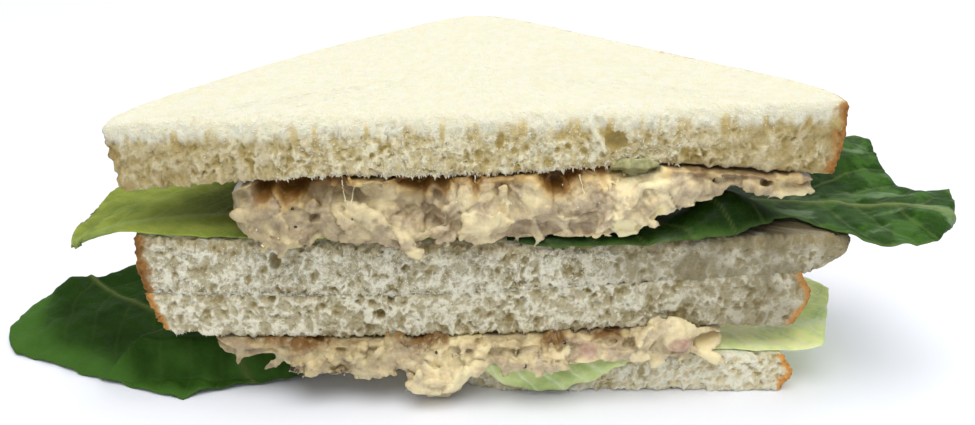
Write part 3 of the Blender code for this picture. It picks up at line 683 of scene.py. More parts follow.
def hole_depth(piece, points):
    """How far the large holes of a cut face go in: half ellipsoids with a ragged rim."""
    x, _, z = points.T
    ragged = 0.25 * noise(points, 1.1, 71)
    depth = np.zeros(len(points))
    for hole in piece.holes:
        lean = math.radians(hole.lean)
        dx, dz = x - hole.x, z - hole.z
        across = (dx * math.cos(lean) - dz * math.sin(lean)) / hole.half_x
        up = (dx * math.sin(lean) + dz * math.cos(lean)) / hole.half_z
        inside = 1.0 - across**2 - up**2 + ragged
        depth = np.maximum(depth, hole.depth * np.sqrt(np.clip(inside, 0.0, 1.0)))
    return depth


def browned_share(piece, points):
    """How well the crust is browned, by an S-curve in x from the left's share to the right's."""
    right = smooth((points[:, 0] - piece.centre[0]) / 20.0 + 0.5)
    return piece.brown_left + (piece.brown_right - piece.brown_left) * right


def ridge_height(piece, points):
    """1 on the torn walls of a cut face, falling off by a bell curve of the distance to them."""
    x, _, z = points.T
    best = np.zeros(len(points))
    for (x0, z0), (x1, z1) in piece.ridges:
        dx, dz = x1 - x0, z1 - z0
        t = np.clip(((x - x0) * dx + (z - z0) * dz) / (dx * dx + dz * dz), 0.0, 1.0)
        away = np.hypot(x - x0 - t * dx, z - z0 - t * dz) + 0.2 * noise(points, 0.8, 72)
        best = np.maximum(best, np.exp(-((away / 0.45) ** 2)))
    return best


def crumb_relief(piece, points, on_cut, on_face):
    """(how far in each point goes, how hollow, how stained, with painted shade along the seam, how
    white, partly as painted light, and how much painted shade darkens its ends).

    A cut is a foam of packed hollows at three sizes, bent out of shape by noise. Its coarser
    hollows come and go in patches. The flat faces have shallow pores, and where the knife
    dragged the crumb over the upper edge there are grooves that run down.
    """
    x, y, z = points.T
    is_top = piece is UPPER_LID
    drift = [rough(points, 2.6, 2, n) + 0.45 * noise(points, 0.8, n + 90) for n in (50, 53, 56)]
    squeezed = points * (1.0, 1.0, 1.0 / piece.stretch) + 0.75 * np.stack(drift, axis=-1)
    patch = smooth(0.5 + 0.9 * noise(points, 8.0, 61))
    spot = smooth(0.1 + 1.3 * noise(points, 6.0, 63))
    small = foam(squeezed, 0.85, 0.15, 5)
    middling = foam(squeezed, 1.7, 0.0, 15)
    large = foam(squeezed, 3.6, 0.0, 25) ** 1.5
    torn = rough(points, 1.2, 3, 35)
    # the right end, where the crumb is smoother and painted shade darkens the cut
    shade_from, shade_to, shade_share = piece.shaded_end
    shaded_end = shade_share * smooth((x - shade_from) / (shade_to - shade_from))
    cells = 0.50 * small + (0.55 + 0.45 * patch) * middling + 1.1 * spot * large
    cells = cells * (0.75 + 0.25 * smooth(0.5 + noise(points, 14.0, 65))) * (1.0 - 0.6 * shaded_end)

    # grooves under the upper edge, large holes, and the row of hollows along the middle seam
    below_top = along(x, piece.top) - z
    lines = points * (1.0, 0.12, 0.12)
    groove = noise(lines, 1.3, 67) + 0.6 * noise(lines, 0.6, 68)
    dragged = smooth(1.0 - (below_top - 1.6 * groove) / 6.0) * is_top
    holes = hole_depth(piece, points)
    shown = np.where(holes > 0.25, holes + 0.25 * small, np.maximum(cells, holes))
    open_hole = smooth(holes / 0.5)
    seam = np.abs(along(x, MIDDLE_SEAM) - z)
    row = smooth(1.0 - seam / 1.5) * (piece in (UPPER_BASE, LOWER_LID)) * (1.0 - 0.7 * shaded_end)
    row = row * smooth(0.45 + 1.2 * noise(points * (1.0, 1.0, 0.3), 2.6, 75))
    shown = shown * (1.0 - 0.85 * dragged * (1.0 - open_hole)) + 0.7 * row
    wall = ridge_height(piece, points)
    shown = shown * (1.0 - wall) - 0.5 * wall

    # depth on the cut, on the flat faces and on the crust
    cut_depth = shown + 0.28 * torn + 0.22 * dragged * np.maximum(groove, -0.4) - 0.6
    skin = foam(squeezed * 1.3, 1.1, 0.0, 45) ** 2
    face_depth = (0.30 * skin + 0.12 * rough(points, 2.0, 3, 47)) * (1.0 if is_top else 2.2)
    frayed = np.maximum(1.0 - browned_share(piece, points), 0.9 * by_cut(y))
    crust_depth = 0.26 * rough(points, 2.2, 4, 49) + 0.30 * foam(points, 1.5, 0.0, 55)
    crust_depth = crust_depth + frayed * (0.6 * rough(points, 1.4, 3, 57) + 0.5 * small)
    flat = on_face * (1.0 - on_cut)
    depth = cut_depth * on_cut + face_depth * flat + crust_depth * (1.0 - on_cut) * (1.0 - flat)

    # what the colours follow
    tone = 0.26 * small + (0.42 + 0.25 * patch) * middling + 0.6 * spot * large + 0.10 * torn
    tone = np.maximum(tone * (1.0 - 0.7 * dragged), 0.62 * open_hole) * (1.0 - wall)
    hollow = np.clip(tone, 0.0, 1.0) * on_cut + 0.30 * skin * (1.0 - on_cut)
    drips = smooth((below_top - 1.0) / 2.0) * smooth((8.5 - below_top) / 4.0) * is_top
    soaked = smooth(1.2 - below_top / 3.0 + 0.8 * noise(points, 3.0, 73)) * (piece is UPPER_BASE)
    streak = np.maximum(drips * smooth(0.2 + 1.4 * groove), soaked * 0.8) * on_cut
    # along the middle seam the row is painted ochre: partly the pits' own colour, partly painted
    # shade in the groove
    streak = np.maximum(streak * (1.0 - wall), 0.75 * row * on_cut)
    # the top face's pale colour carried down the cut's upper edge: partly knife-smoothed crumb,
    # partly painted light on the rounded edge
    whitened = 1.0 - smooth((below_top - 2.6 + 1.3 * groove) / 2.6)
    # painted shade at both ends, joined below with the right end's
    ends = piece.shade_at_ends * smooth((np.abs(x) - 14.0) / 55.0) * (1.0 - dragged)
    blurred = 0.75 + 0.45 * noise(points, 2.4, 76)
    return depth, hollow, streak, whitened, np.clip(np.maximum(shaded_end, ends) * blurred, 0.0, 1.0)


def make_slice(piece, settings):
    """A slice's crumb and crust: its smooth grid, sunk by its relief, with frayed cut edges."""
    step = settings.grain * 1.0
    grid, crust_gap, on_cut, rows = slice_grid(piece, step)
    normals = grid_normals(grid, closed=True)
    well_in = np.flatnonzero(on_cut)[50]  # a column on the cut, away from its corners
    if normals[len(rows) // 3, well_in, 1] > 0:
        normals = -normals
    count = grid.shape[1]
    points, normals = grid.reshape(-1, 3), normals.reshape(-1, 3)
    inner, _, height, _ = rows.repeat(count, axis=0).T
    cut_column = np.tile(on_cut, len(rows)) * (inner == 0)
    cut_share = smooth((-normals[:, 1] - 0.25) / 0.5) * cut_column
    face_share = smooth((np.abs(normals[:, 2]) - 0.5) / 0.4)
    depth, hollow, streak, whitened, shaded_end = crumb_relief(piece, points, cut_share, face_share)
    browned = browned_share(piece, points)
    firm = browned * (1.0 - smooth((crust_gap - 0.4) / 1.2))
    depth = depth * (1.0 - (0.65 - 0.55 * by_cut(points[:, 1])) * firm) * settings.pore_depth
    moved = points - normals * depth[:, None]
    low_edge = smooth((0.35 - height) / 0.3) * cut_share
    high_edge = smooth((height - 0.7) / 0.3) * cut_share * (piece in (UPPER_BASE, BASE))
    frayed = rough(points * (1.0, 0.5, 0.5), 1.4, 3, 81)
    moved[:, 2] += 0.5 * frayed * low_edge
    moved[:, 2] -= 0.9 * high_edge * np.abs(frayed + 0.3 * noise(points, 0.7, 83))
    moved[:, 2] = np.maximum(moved[:, 2], 0.0)
    reach = CRUST_DEPTH * (1.0 + 0.45 * rough(points, 2.6, 2, 91))
    crust = np.clip(1.0 - crust_gap / reach, 0.0, 1.0) * browned
    crust *= 1.0 - 0.6 * face_share * smooth((crust_gap - 0.2) / 0.8)
    over = face_share * (normals[:, 2] > 0)
    # the top slice's face colour, and on its cut's upper edge partly painted light
    top = np.maximum(over, whitened * cut_column) * (piece is UPPER_LID)
    # painted shade on the upper base's top face at its right end
    top = top + over * shaded_end * (piece is UPPER_BASE)
    masks = {"pore": hollow, "crust": crust, "top": top, "streak": streak, "shaded_end": shaded_end}
    masks = {name: np.append(values, (0.0, 0.0)) for name, values in masks.items()}
    masks["top"][-1] = piece is UPPER_LID
    ends = [moved[:count].mean(axis=0), moved[-count:].mean(axis=0)]
    skin = np.concatenate([moved, ends])
    obj = mesh_object(piece.node + "_crumb", skin, tube_faces(len(rows), count), masks)
    face_outwards(obj)
    place(obj, piece.node, crumb_finish(piece, settings))


# ---------------------------------------------------------------- lettuce


@dataclass
class Leaf:
    """A lettuce leaf: its outline in plan and the form of its ribs, in millimetres."""

    node: str
    near: tuple  # plan points of the margin that faces the cut, measured from the cut
    spine: tuple  # plan points of the line midway between the margins
    far: tuple  # plan points of the margin at the back
    ruffle: float  # height of the waves at its free margin
    rib: tuple  # plan points of the midrib
    rib_width: float  # half the width of the midrib
    vein_step: float  # distance between side veins
    pucker: float  # how far the blade swells between its veins
    dark: bool
    colour: tuple
    vein_colour: tuple
    rib_share: float = 0.8  # how much paler the midrib is
    vein_share: float = 0.3  # and the side veins


UPPER_PALE = Leaf(
    "lettuce_upper_pale",
    (
        (-87, -4), (-84, -2), (-81, -0.4), (-74, -0.2), (-60, -0.6), (-50, 0.2), (-34, 0.6),
        (-18, 1.0), (-4, 2),
    ),
    (
        (-87.3, -1), (-86.6, 4), (-85, 9.5), (-79, 15), (-63, 17), (-48, 18), (-33, 18.5),
        (-18, 19), (-5, 20),
    ),
    (
        (-87.2, 1.5), (-87.2, 9), (-87, 18), (-84.2, 27.4), (-68, 33), (-51, 37), (-34, 38),
        (-18, 38), (-6, 38),
    ),
    0.7,
    ((-88, -4), (-74, 4), (-58, 9), (-40, 12), (-10, 16)),
    1.4, 7.0, 0.35, False, (0.195, 0.245, 0.040), (0.34, 0.42, 0.14), 0.4, 0.18,
)
UPPER_DARK = Leaf(
    "lettuce_upper_dark",
    (
        (4, 0), (16, -2), (29, -2.2), (41, -1.8), (52, -1.8), (59, 1), (66, 6), (73, 1), (81, -6),
        (91, -5.5), (97, 0), (102, 10),
    ),
    (
        (6, 18), (18, 19), (31, 20), (43, 21), (54, 22), (63, 23), (71, 22), (79, 18), (87, 14),
        (94, 10), (99, 9), (103.5, 14),
    ),
    (
        (8, 36), (20, 38), (33, 39), (46, 39), (58, 38), (69, 38), (79, 40), (86, 42.5), (91.5, 40),
        (92, 29), (94, 20.5), (104.5, 18.5),
    ),
    1.6,
    ((0, 12), (30, 14), (55, 15), (75, 14), (92, 8), (104, 4)),
    0.9, 9.0, 0.55, True, (0.030, 0.086, 0.0105), (0.22, 0.28, 0.09), 0.65, 0.22,
)
LOWER_DARK = Leaf(
    "lettuce_lower_dark",
    (
        (-114, 42.5), (-117.5, 35), (-118, 26), (-113.5, 16), (-102, 10.5), (-91.5, 5), (-83, 1.5),
        (-75, -1.5), (-68, -4),
    ),
    (
        (-111, 46.5), (-105.5, 42.5), (-100, 39), (-93, 34.5), (-85, 28), (-76, 20), (-68, 12),
        (-61, 5), (-55, 1.0),
    ),
    (
        (-106, 50), (-102.5, 51.5), (-97, 55), (-86, 57), (-70, 53), (-52, 45), (-36, 34),
        (-25, 20), (-31, 5.0),
    ),
    1.5,
    ((-105, 49), (-91, 37), (-79, 27), (-68, 17), (-58, 7), (-50, -2)),
    0.8, 10.0, 0.5, True, (0.034, 0.088, 0.012), (0.11, 0.14, 0.04), 0.6, 0.12,
)
LOWER_PALE = Leaf(
    "lettuce_lower_pale",
    (
        (-4, -3), (4, -7), (12, -9.5), (20, -8.5), (27, -5), (33, -1), (43, 1.2), (54, 1.0),
        (65, 0.4), (75, 0.8),
    ),
    (
        (-5, 14), (4, 15), (14, 16), (24, 17), (35, 17.5), (46, 18), (57, 18), (67, 17), (74.5, 16),
        (79.5, 15),
    ),
    (
        (-6, 30), (5, 33), (17, 35), (29, 36), (41, 37), (53, 37), (64, 35), (73, 32), (79, 29),
        (83, 25),
    ),
    0.5,
    ((-6, 8), (20, 4), (40, 6), (60, 8), (80, 10)),
    1.8, 6.0, 0.4, False, (0.74, 0.90, 0.37), (0.90, 0.95, 0.70), 0.55, 0.5,
)
LEAVES = (UPPER_PALE, UPPER_DARK, LOWER_DARK, LOWER_PALE)
BEND_FROM, BEND_RADIUS = 0.3, 1.0  # where a hanging leaf turns down over the cut's edge
BEND_ANGLE = math.radians(84)  # how steeply it then hangs
LEAF_GRID = (230, 110)  # points along a leaf and across it


def bread_under(leaf):
    """The slice that a leaf lies on."""
    return UPPER_BASE if leaf in (UPPER_PALE, UPPER_DARK) else BASE


def fold_height(x, y):
    """The dark upper leaf's blister by the cut: a bell curve with unequal sides."""
    across = (x - 50.0) / np.where(x < 50.0, 8.0, 10.0)
    depth = (y - CUT_Y - 4.0) / np.where(y < CUT_Y + 4.0, 4.6, 8.0)
    return 7.8 * np.exp(-(across**2) - depth**2)


def leaf_height(leaf, x, y):
    """Height of a leaf's underside in plan.

    It lies on the bread, and sinks, curls up or drops beyond it by S-curves.
    """
    home = bread_under(leaf)
    beyond = outside(home, x, y)
    on_bread = along(x, home.top) + LEAF_LIFT
    if leaf is UPPER_PALE:
        return on_bread - 1.6 * smooth((beyond - 4.0) / 8.0)
    if leaf is UPPER_DARK:
        hung = 1.1 * by_cut(y, 0.0, 2.0) * smooth((62.0 - x) / 6.0)
        curled = 4.0 * smooth((y - CUT_Y - 20.0) / 20.0) * smooth((beyond - 2.0) / 10.0)
        return on_bread + fold_height(x, y) - hung + curled
    if leaf is LOWER_DARK:
        return on_bread + (0.5 - on_bread) * smooth((beyond - 1.4) / 5.4)
    return on_bread + 1.2 * smooth((beyond - 1.5) / 8.0) * smooth(x / 40.0)


def hang_over(points):
    """Turns what lies in front of the cut down over the bread's edge, by a quarter circle."""
    ahead = np.maximum(CUT_Y - BEND_FROM - points[..., 1], 0.0)
    angle = np.minimum(ahead / BEND_RADIUS, BEND_ANGLE)
    rest = ahead - angle * BEND_RADIUS
    hung = points.copy()
    hung[..., 1] += ahead - BEND_RADIUS * np.sin(angle) - rest * np.cos(angle)
    hung[..., 2] -= BEND_RADIUS * (1.0 - np.cos(angle)) + rest * np.sin(angle)
    return hung


def rib_frame(leaf, x, y):
    """(distance along the midrib, signed distance from it) of points in plan."""
    line = path(np.linspace(0, 1, 120), leaf.rib)
    ahead = np.gradient(line, axis=0)
    ahead /= np.hypot(*ahead.T)[:, None]
    plan = np.stack([x.ravel(), y.ravel() - CUT_Y], axis=-1)
    best = np.full(len(plan), 1e9)
    run, side = np.zeros(len(plan)), np.zeros(len(plan))
    for point, direction, distance in zip(line, ahead, walked(line)):
        to = plan - point
        square = (to**2).sum(axis=1)
        nearer = square < best
        best = np.where(nearer, square, best)
        run = np.where(nearer, distance + to @ direction, run)
        side = np.where(nearer, direction[0] * to[:, 1] - direction[1] * to[:, 0], side)
    return run.reshape(x.shape), side.reshape(x.shape)


def vein_pattern(leaf, x, y):
    """(rib, side veins, swelling between them), each from 0 to 1, in plan.

    A side vein leaves the rib at a slant and bends forward, so it runs where the distance along
    the rib, less a share of the distance from it, is a whole number of steps.
    """
    run, side = rib_frame(leaf, x, y)
    wander = flat_noise(x, y, 9.0, 7)
    off = np.abs(side)
    rib = np.exp(-((side / leaf.rib_width) ** 2))
    phase = (run - 0.75 * off - 0.012 * off**2 + 1.6 * wander) / leaf.vein_step
    phase = phase + 0.5 * (side > 0)
    from_vein = np.abs(phase - np.round(phase)) * leaf.vein_step
    thin = 0.30 + 0.35 * np.exp(-off / 12.0)
    veins = np.exp(-((from_vein / thin) ** 2)) * smooth((off - 0.3) / 1.5)
    swelling = np.sin(math.pi * from_vein / leaf.vein_step) * smooth(off / 3.0)
    return rib, veins, swelling


def leaf_shade(leaf, x, y, inward):
    """How dark a leaf is in plan, where the salad and the bread shade it, from 0 to 1."""
    if leaf is UPPER_DARK:
        under_salad = 0.9 * smooth((47.0 - x) / 6.0) * smooth((y - CUT_Y + 1.7) / 0.8)
        behind = 0.95 * smooth((y - CUT_Y - 9.0) / 14.0) * smooth((88.0 - x) / 10.0)
        blister = smooth((fold_height(x, y) - 0.8) / 2.4)
        return np.maximum(np.maximum(blister, behind), under_salad)
    if leaf is UPPER_PALE:
        return 0.8 * smooth((x + 72.0) / 14.0) * smooth((y - CUT_Y - 2.0) / 6.0)
    if leaf is LOWER_DARK:
        shade = (0.35 + 0.55 * inward) * (0.15 + 0.85 * smooth((-62.0 - x) / 30.0))
        return shade * smooth(0.25 + inward)
    return 0.45 * smooth((34.0 - x) / 6.0)


def make_leaf(leaf, settings):
    """A thin sheet on a grid between its two margins, bent by waves, ribs and puckers.

    Across the leaf the grid follows the parabola through the near margin, the spine and the far
    margin.
    """
    columns, rows = (count for count in LEAF_GRID)
    t = np.linspace(0.0, 1.0, columns)
    v = np.linspace(0.0, 1.0, rows)[None, :, None]
    near, spine, far = (path(t, line)[:, None] for line in (leaf.near, leaf.spine, leaf.far))
    plan = near * (1 - v) * (1 - 2 * v) + spine * 4 * v * (1 - v) + far * v * (2 * v - 1)
    x, y, v = plan[..., 0], plan[..., 1] + CUT_Y, v[..., 0]
    from_margin = np.minimum(np.minimum(t, 1 - t)[:, None] * 60, np.minimum(v, 1 - v) * 30)
    edge = smooth(1.0 - from_margin)
    ragged = [0.35 * edge * flat_noise(x, y, 2.2, salt) for salt in (21, 22)]
    x, y = x + ragged[0], y + ragged[1]
    beyond = outside(bread_under(leaf), x, y)
    free, loose = smooth((beyond - 3.0) / 12.0), smooth((beyond + 1.0) / 4.0)
    waves = leaf.ruffle * free * smooth(v / 0.4) * (1.0 + ripple(x, y, 24.0))
    crinkle = (0.35 * ripple(x, y, 9.0) + 0.16 * ripple(y, x, 4.1)) * loose
    rib, veins, swelling = vein_pattern(leaf, x, y)
    puffed = leaf.pucker * (0.35 + 0.65 * loose) * swelling
    height = leaf_height(leaf, x, y) + waves + np.maximum(crinkle + puffed - 0.2, -0.3)
    points = np.stack([x, y, height], axis=-1)
    if leaf is LOWER_PALE:
        ahead = by_cut(y, -0.6, 2.4)
        crumpled = 0.55 + 0.5 * ripple(x, 2.0 * y, 8.5) + 0.3 * ripple(y, x, 3.9)
        points = hang_over(points)
        points[..., 1] -= ahead * np.maximum(crumpled, 0.0)
    square = grid_normals(points, closed=False)
    if square[..., 2].mean() < 0:
        square = -square
    thick = settings.blade + settings.vein_height * (0.9 * rib + 0.35 * veins)
    over = points + square * (thick * (1.0 - 0.6 * edge))[..., None]
    under = points - square * (settings.vein_height * 0.3 * rib)[..., None]
    inward = smooth((v - 0.06 - 0.05 * ripple(x, y, 30.0)) / 0.22)
    shade = leaf_shade(leaf, x, y, inward)
    # on the lower dark leaf the swell mask lights its near flap: painted light
    if leaf is LOWER_DARK:
        swelling = np.maximum(0.4 * swelling, 2.4 * (1.0 - inward))
    masks = {"shade": shade, "rib": rib, "vein": veins, "swell": swelling, "margin": edge}
    masks = {name: np.tile(values.ravel(), 2) for name, values in masks.items()}
    both = np.concatenate([under.reshape(-1, 3), over.reshape(-1, 3)])
    obj = mesh_object(leaf.node + "_blade", both, sheet_faces(columns, rows), masks)
    face_outwards(obj)
    place(obj, leaf.node, leaf_finish(leaf))


def leaf_finish(leaf):
    """A satin green skin with paler ribs, soft blotches and a faint net of veins, with painted
    shade, painted light on the lower dark leaf's flap and painted highlights on the dark upper
    leaf.
    """
    shine = {"lettuce_lower_pale": 0.08, "lettuce_upper_dark": 0.05}.get(leaf.node, 0.03)
    finish = Finish(
        "skin_of_" + leaf.node,
        Roughness=0.42, Specular_IOR_Level=shine * 0.6, Coat_Weight=shine, Coat_Roughness=0.12,
    )
    rib, vein, swell = finish.mask("rib"), finish.mask("vein"), finish.mask("swell")
    green = np.array(leaf.colour)
    blotch = finish.spots(9.0, 3.0, 0.3, 0.7)
    dim, bright = green * (0.58, 0.66, 0.55), green * (1.40, 1.30, 1.40)
    dark = (0.22, 0.26, 0.18)
    if leaf is UPPER_PALE:
        dark = (0.44, 0.42, 0.16)
    if leaf is LOWER_DARK:
        bright = green * (1.6, 1.55, 1.7)
    if leaf is UPPER_DARK:
        blotch = finish.spots(5.5, 3.0, 0.43, 0.60)
        dim, bright = green * (0.34, 0.46, 0.30), green * (1.50, 1.38, 1.50)
    colour = finish.blend(blotch, dim, bright)
    # lighter on the swellings between veins, and on the lower dark leaf's near flap as painted
    # light
    colour = finish.over(colour, bright, swell, 0.35)
    if leaf is UPPER_DARK:
        # painted highlights: pale glossy patches on the dark upper leaf
        painted_highlight = finish.spots(6.0, 4.0, 0.53, 0.66, stretch=(0.45, 1.0, 1.0))
        colour = finish.over(colour, (0.19, 0.29, 0.15), painted_highlight, 0.7)
        colour = finish.over(colour, (0.12, 0.19, 0.05), finish.mask("margin"), 0.5)
    colour = finish.over(colour, green * dark, finish.mask("shade"), 0.9)
    lines = finish.sum(finish.times(rib, leaf.rib_share), finish.times(vein, leaf.vein_share))
    net = finish.steps(finish.cells(1.7, "DISTANCE_TO_EDGE"), 0.0, 0.12)
    faint = finish.times(finish.less(1.0, net), 0.03 if leaf.dark else 0.10)
    colour = finish.blend(finish.sum(lines, faint), colour, leaf.vein_colour)
    finish.feed("Base Color", colour)
    finish.relief((net, 0.025), (finish.grain(1.1, 3.0), 0.06), (finish.grain(3.6, 3.0), 0.55))
    finish.scatter(0.05 if leaf.dark else 0.45, (0.8, 1.2, 0.5))
    return finish.material


# ---------------------------------------------------------------- tuna salad


@dataclass
class Heap:
    """A heap of tuna salad, in millimetres, as it shows from the front."""

    node: str
    roof: tuple  # heights of the bread above, at the stations
    floor: tuple  # heights of the bread below
    start: float  # x of its left end
    end: float  # x of its right end
    dice: tuple  # (x, z, half width, half height) of its pink dice
    green: tuple  # (x, z, half width, half height) of its slice of celery
    seed: int
    gap: tuple  # least and greatest depth of the dark gap between the bread above and its front
    gap_end: float  # x where that gap closes
    pale: tuple  # (x, how pale the salad is painted there) from left to right, as painted light and shade along the heap
    flakes: tuple = ()  # (x, z, length, turn) of flakes that lie along its top edge


UPPER_HEAP = Heap(
    "tuna_upper", UPPER_LID_BOTTOM, UPPER_BASE_TOP, -52.0, 60.0, (), ((30.0, 55.5, 6.0, 2.3),), 3,
    (-1.0, 3.5), 40.0,
    ((-52, 0.05), (-34, 0.2), (-14, 0.6), (10, 0.6), (34, 1.2), (42, 0.7), (50, 0.0), (60, 0.5)),
    flakes=(
        (41.5, 53.4, 7.5, -0.10), (46.5, 53.0, 7.0, -0.12), (52.0, 52.6, 7.5, -0.08),
        (57.5, 51.9, 7.0, -0.12),
    ),
)
LOWER_HEAP = Heap(
    "tuna_lower", LOWER_LID_BOTTOM, BASE_TOP, -57.0, 47.0,
    ((21.9, 13.8, 2.1, 1.7), (42.0, 14.9, 2.9, 2.2)), (), 4, (-2.4, 0.5), 33.0,
    ((-57, 0.1), (-38, 0.1), (-20, 0.4), (-8, 0.9), (2, 0.45), (22, 0.6), (36, 0.75), (47, 0.8)),
)
VOXEL = 0.42  # edge of the cells that melt a heap's pieces together
MELT_ROUNDS = 3  # rounds of smoothing after that
FLAKE_TRIES = 170  # flakes that are tried on each heap, of which some have no room
WELL_AHEAD = -80.0  # a y in front of the whole stack


def merged_copy(node):
    """(points in millimetres, triangles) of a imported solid, with its doubled points merged."""
    shell = bmesh.new()
    shell.from_mesh(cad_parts[node].data)
    bmesh.ops.remove_doubles(shell, verts=shell.verts, dist=1e-6)
    mesh = bpy.data.meshes.new(node + "_copy")
    shell.to_mesh(mesh)
    shell.free()
    points, triangles = read_points(mesh)[0], read_triangles(mesh)
    bpy.data.meshes.remove(mesh)
    return points, triangles


def front_finder(points, triangles):
    """A function that gives y of the first surface met from the front at (x, z), or None."""
    tree = BVHTree.FromPolygons(points.tolist(), triangles.tolist())

    def find(x, z):
        """y of the surface at (x, z)."""
        hit = tree.ray_cast(Vector((x, WELL_AHEAD, z)), Vector((0.0, 1.0, 0.0)))[0]
        return None if hit is None else hit.y

    return find


def finder_on(name):
    """A front finder for a finished piece."""
    mesh = bpy.data.objects[name].data
    return front_finder(read_points(mesh)[0], read_triangles(mesh))


def shred(middle, ahead, out, length, wide, thick, bend, rng):
    """(points, faces) of a torn flake: a strip with a lens-shaped section and ragged ends.

    Its middle line is bent into an arc, and its width follows a half ellipse to either end.
    """
    rings, count = 8, 8
    s = np.linspace(-0.46, 0.46, rings)
    aside = np.cross(out, ahead)
    angles = round_angles(count)
    taper = np.sqrt(1.0 - (2.0 * s) ** 2) * rng.uniform(0.8, 1.15, rings)
    arc = bend * length * (s**2 - 0.08)
    centres = middle + length * s[:, None] * ahead + arc[:, None] * aside
    uneven = rng.uniform(0.8, 1.2, (rings, count))
    across = (np.cos(angles) * uneven * taper[:, None] * wide)[..., None] * aside
    deep = (np.sin(angles) * uneven * taper[:, None] * thick)[..., None] * out
    points = (centres[:, None] + across + deep).reshape(-1, 3)
    half = 0.5 * length * ahead
    tips = [middle - half + arc[0] * aside, middle + half + arc[-1] * aside]
    return np.concatenate([points, tips]), tube_faces(rings, count)


def shreds_on(heap, points, triangles, rng):
    """Flakes scattered over a heap's front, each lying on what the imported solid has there."""
    find = front_finder(points, triangles)
    made = []
    for x, z, length, turn in heap.flakes:
        ahead = np.array([math.cos(turn), 0.0, math.sin(turn)])
        middle = np.array([x, CUT_Y - 0.1, z])
        made.append(shred(middle, ahead, np.array([0.0, -1.0, 0.0]), length, 1.3, 0.8, 0.2, rng))
    for _ in range(FLAKE_TRIES):
        x = rng.uniform(heap.start, heap.end)
        roof, floor = float(along(x, heap.roof)), float(along(x, heap.floor))
        z = rng.uniform(floor - 2.0, roof - 0.6)
        length, wide = rng.uniform(3.0, 10.0), rng.uniform(0.5, 1.3)
        turn, swing, roll = rng.normal(0.2, 0.8), rng.normal(0, 0.25), rng.normal(0, 0.5)
        bend, lift = rng.normal(0, 0.5), rng.uniform(-0.5, 0.35)
        y = find(x, z)
        if y is None or y > CUT_Y + 2.0 or x < heap.start + 6.0 + 8.0 * (heap is LOWER_HEAP):
            continue
        if any(
            abs(x - at_x) < half_x + 1.5 and abs(z - at_z) < half_z + 1.0
            for at_x, at_z, half_x, half_z in heap.dice + heap.green
        ):
            continue
        ahead = np.array([
            math.cos(turn) * math.cos(swing), math.sin(swing), math.sin(turn) * math.cos(swing)
        ])
        out = np.cross(ahead, (-math.sin(turn), 0.0, math.cos(turn)))
        out = out / np.linalg.norm(out)
        aside = np.cross(ahead, out)
        out = out * math.cos(roll) + aside * math.sin(roll)
        if out[1] > 0:
            out = -out
        middle = np.array([x, y, z]) + out * lift
        top = middle[2] + abs(ahead[2]) * length / 2
        if top > roof - 0.3 and middle[1] > CUT_Y - 1.0:
            continue
        made.append(shred(middle, ahead, out, length, wide, wide * 0.45, bend, rng))
    return made


def joined(parts):
    """One list of points and of triangles from several closed pieces."""
    points, faces, start = [], [], 0
    for part_points, groups in parts:
        points.append(part_points)
        for group in groups:
            group = np.asarray(group) + start
            if group.shape[1] == 4:
                faces += [group[:, [0, 1, 2]], group[:, [0, 2, 3]]]
            else:
                faces.append(group)
        start += len(part_points)
    return np.concatenate(points), [np.concatenate(faces)]


def largest_piece(mesh):
    """(points in millimetres, faces) of the largest connected piece of a mesh of quads.

    Every point takes the lowest number among its neighbours, and then that number's own number,
    until nothing changes.
    """
    points, _ = read_points(mesh)
    corners = np.empty(len(mesh.loops), np.int32)
    mesh.loops.foreach_get("vertex_index", corners)
    faces = corners.reshape(-1, 4)
    label, before = np.arange(len(points)), None
    while before is None or (label != before).any():
        before = label.copy()
        lowest = label[faces].min(axis=1)
        for column in faces.T:
            np.minimum.at(label, column, lowest)
        label = label[label]
    kept = label == np.bincount(label).argmax()
    fresh = np.cumsum(kept) - 1
    return points[kept], fresh[faces[kept[faces[:, 0]]]]


def melt(obj, voxel, rounds):
    """Joins all closed pieces of a mesh into one skin of small even faces, and smooths it."""
    remesh = obj.modifiers.new("melt", "REMESH")
    remesh.mode, remesh.voxel_size, remesh.use_smooth_shade = "VOXEL", voxel * MM, True
    soften = obj.modifiers.new("soften", "SMOOTH")
    soften.factor, soften.iterations = 0.5, rounds
    bpy.context.view_layer.update()
    graph = bpy.context.evaluated_depsgraph_get()
    skin = bpy.data.meshes.new_from_object(obj.evaluated_get(graph))
    obj.modifiers.clear()
    old, obj.data = obj.data, skin
    bpy.data.meshes.remove(old)


def within(points, spots):
    """1 inside the ellipses of a front view, 0 outside them, and an S-curve at their rims."""
    share = np.zeros(len(points))
    for x, z, half_x, half_z in spots:
        inside = 1.15 - ((points[:, 0] - x) / half_x) ** 2 - ((points[:, 2] - z) / half_z) ** 2
        share = np.maximum(share, smooth(inside / 0.3))
    return share


def facets(points, size, salt):
    """(height, closeness to a border, number) of random tilted planes that meet at their borders.

    Every scattered clump owns a plane through its middle, square to a random direction in the
    front view, and a point's height is its distance along that direction.
    """
    first = np.full(len(points), 9.0)
    second = first.copy()
    height, number = np.zeros(len(points)), np.zeros(len(points))
    for cell, apart in balls_round(points, size, 0.1, salt + 1):
        away = np.sqrt((apart**2).sum(axis=1))
        turn = TAU * hashed(cell, salt + 4)
        plane = apart[:, 0] * np.cos(turn) + apart[:, 2] * np.sin(turn)
        nearer = away < first
        second = np.where(nearer, first, np.minimum(second, away))
        height = np.where(nearer, plane, height)
        number = np.where(nearer, hashed(cell, salt), number)
        first = np.where(nearer, away, first)
    return height, 1.0 - smooth((second - first) / 0.22), number


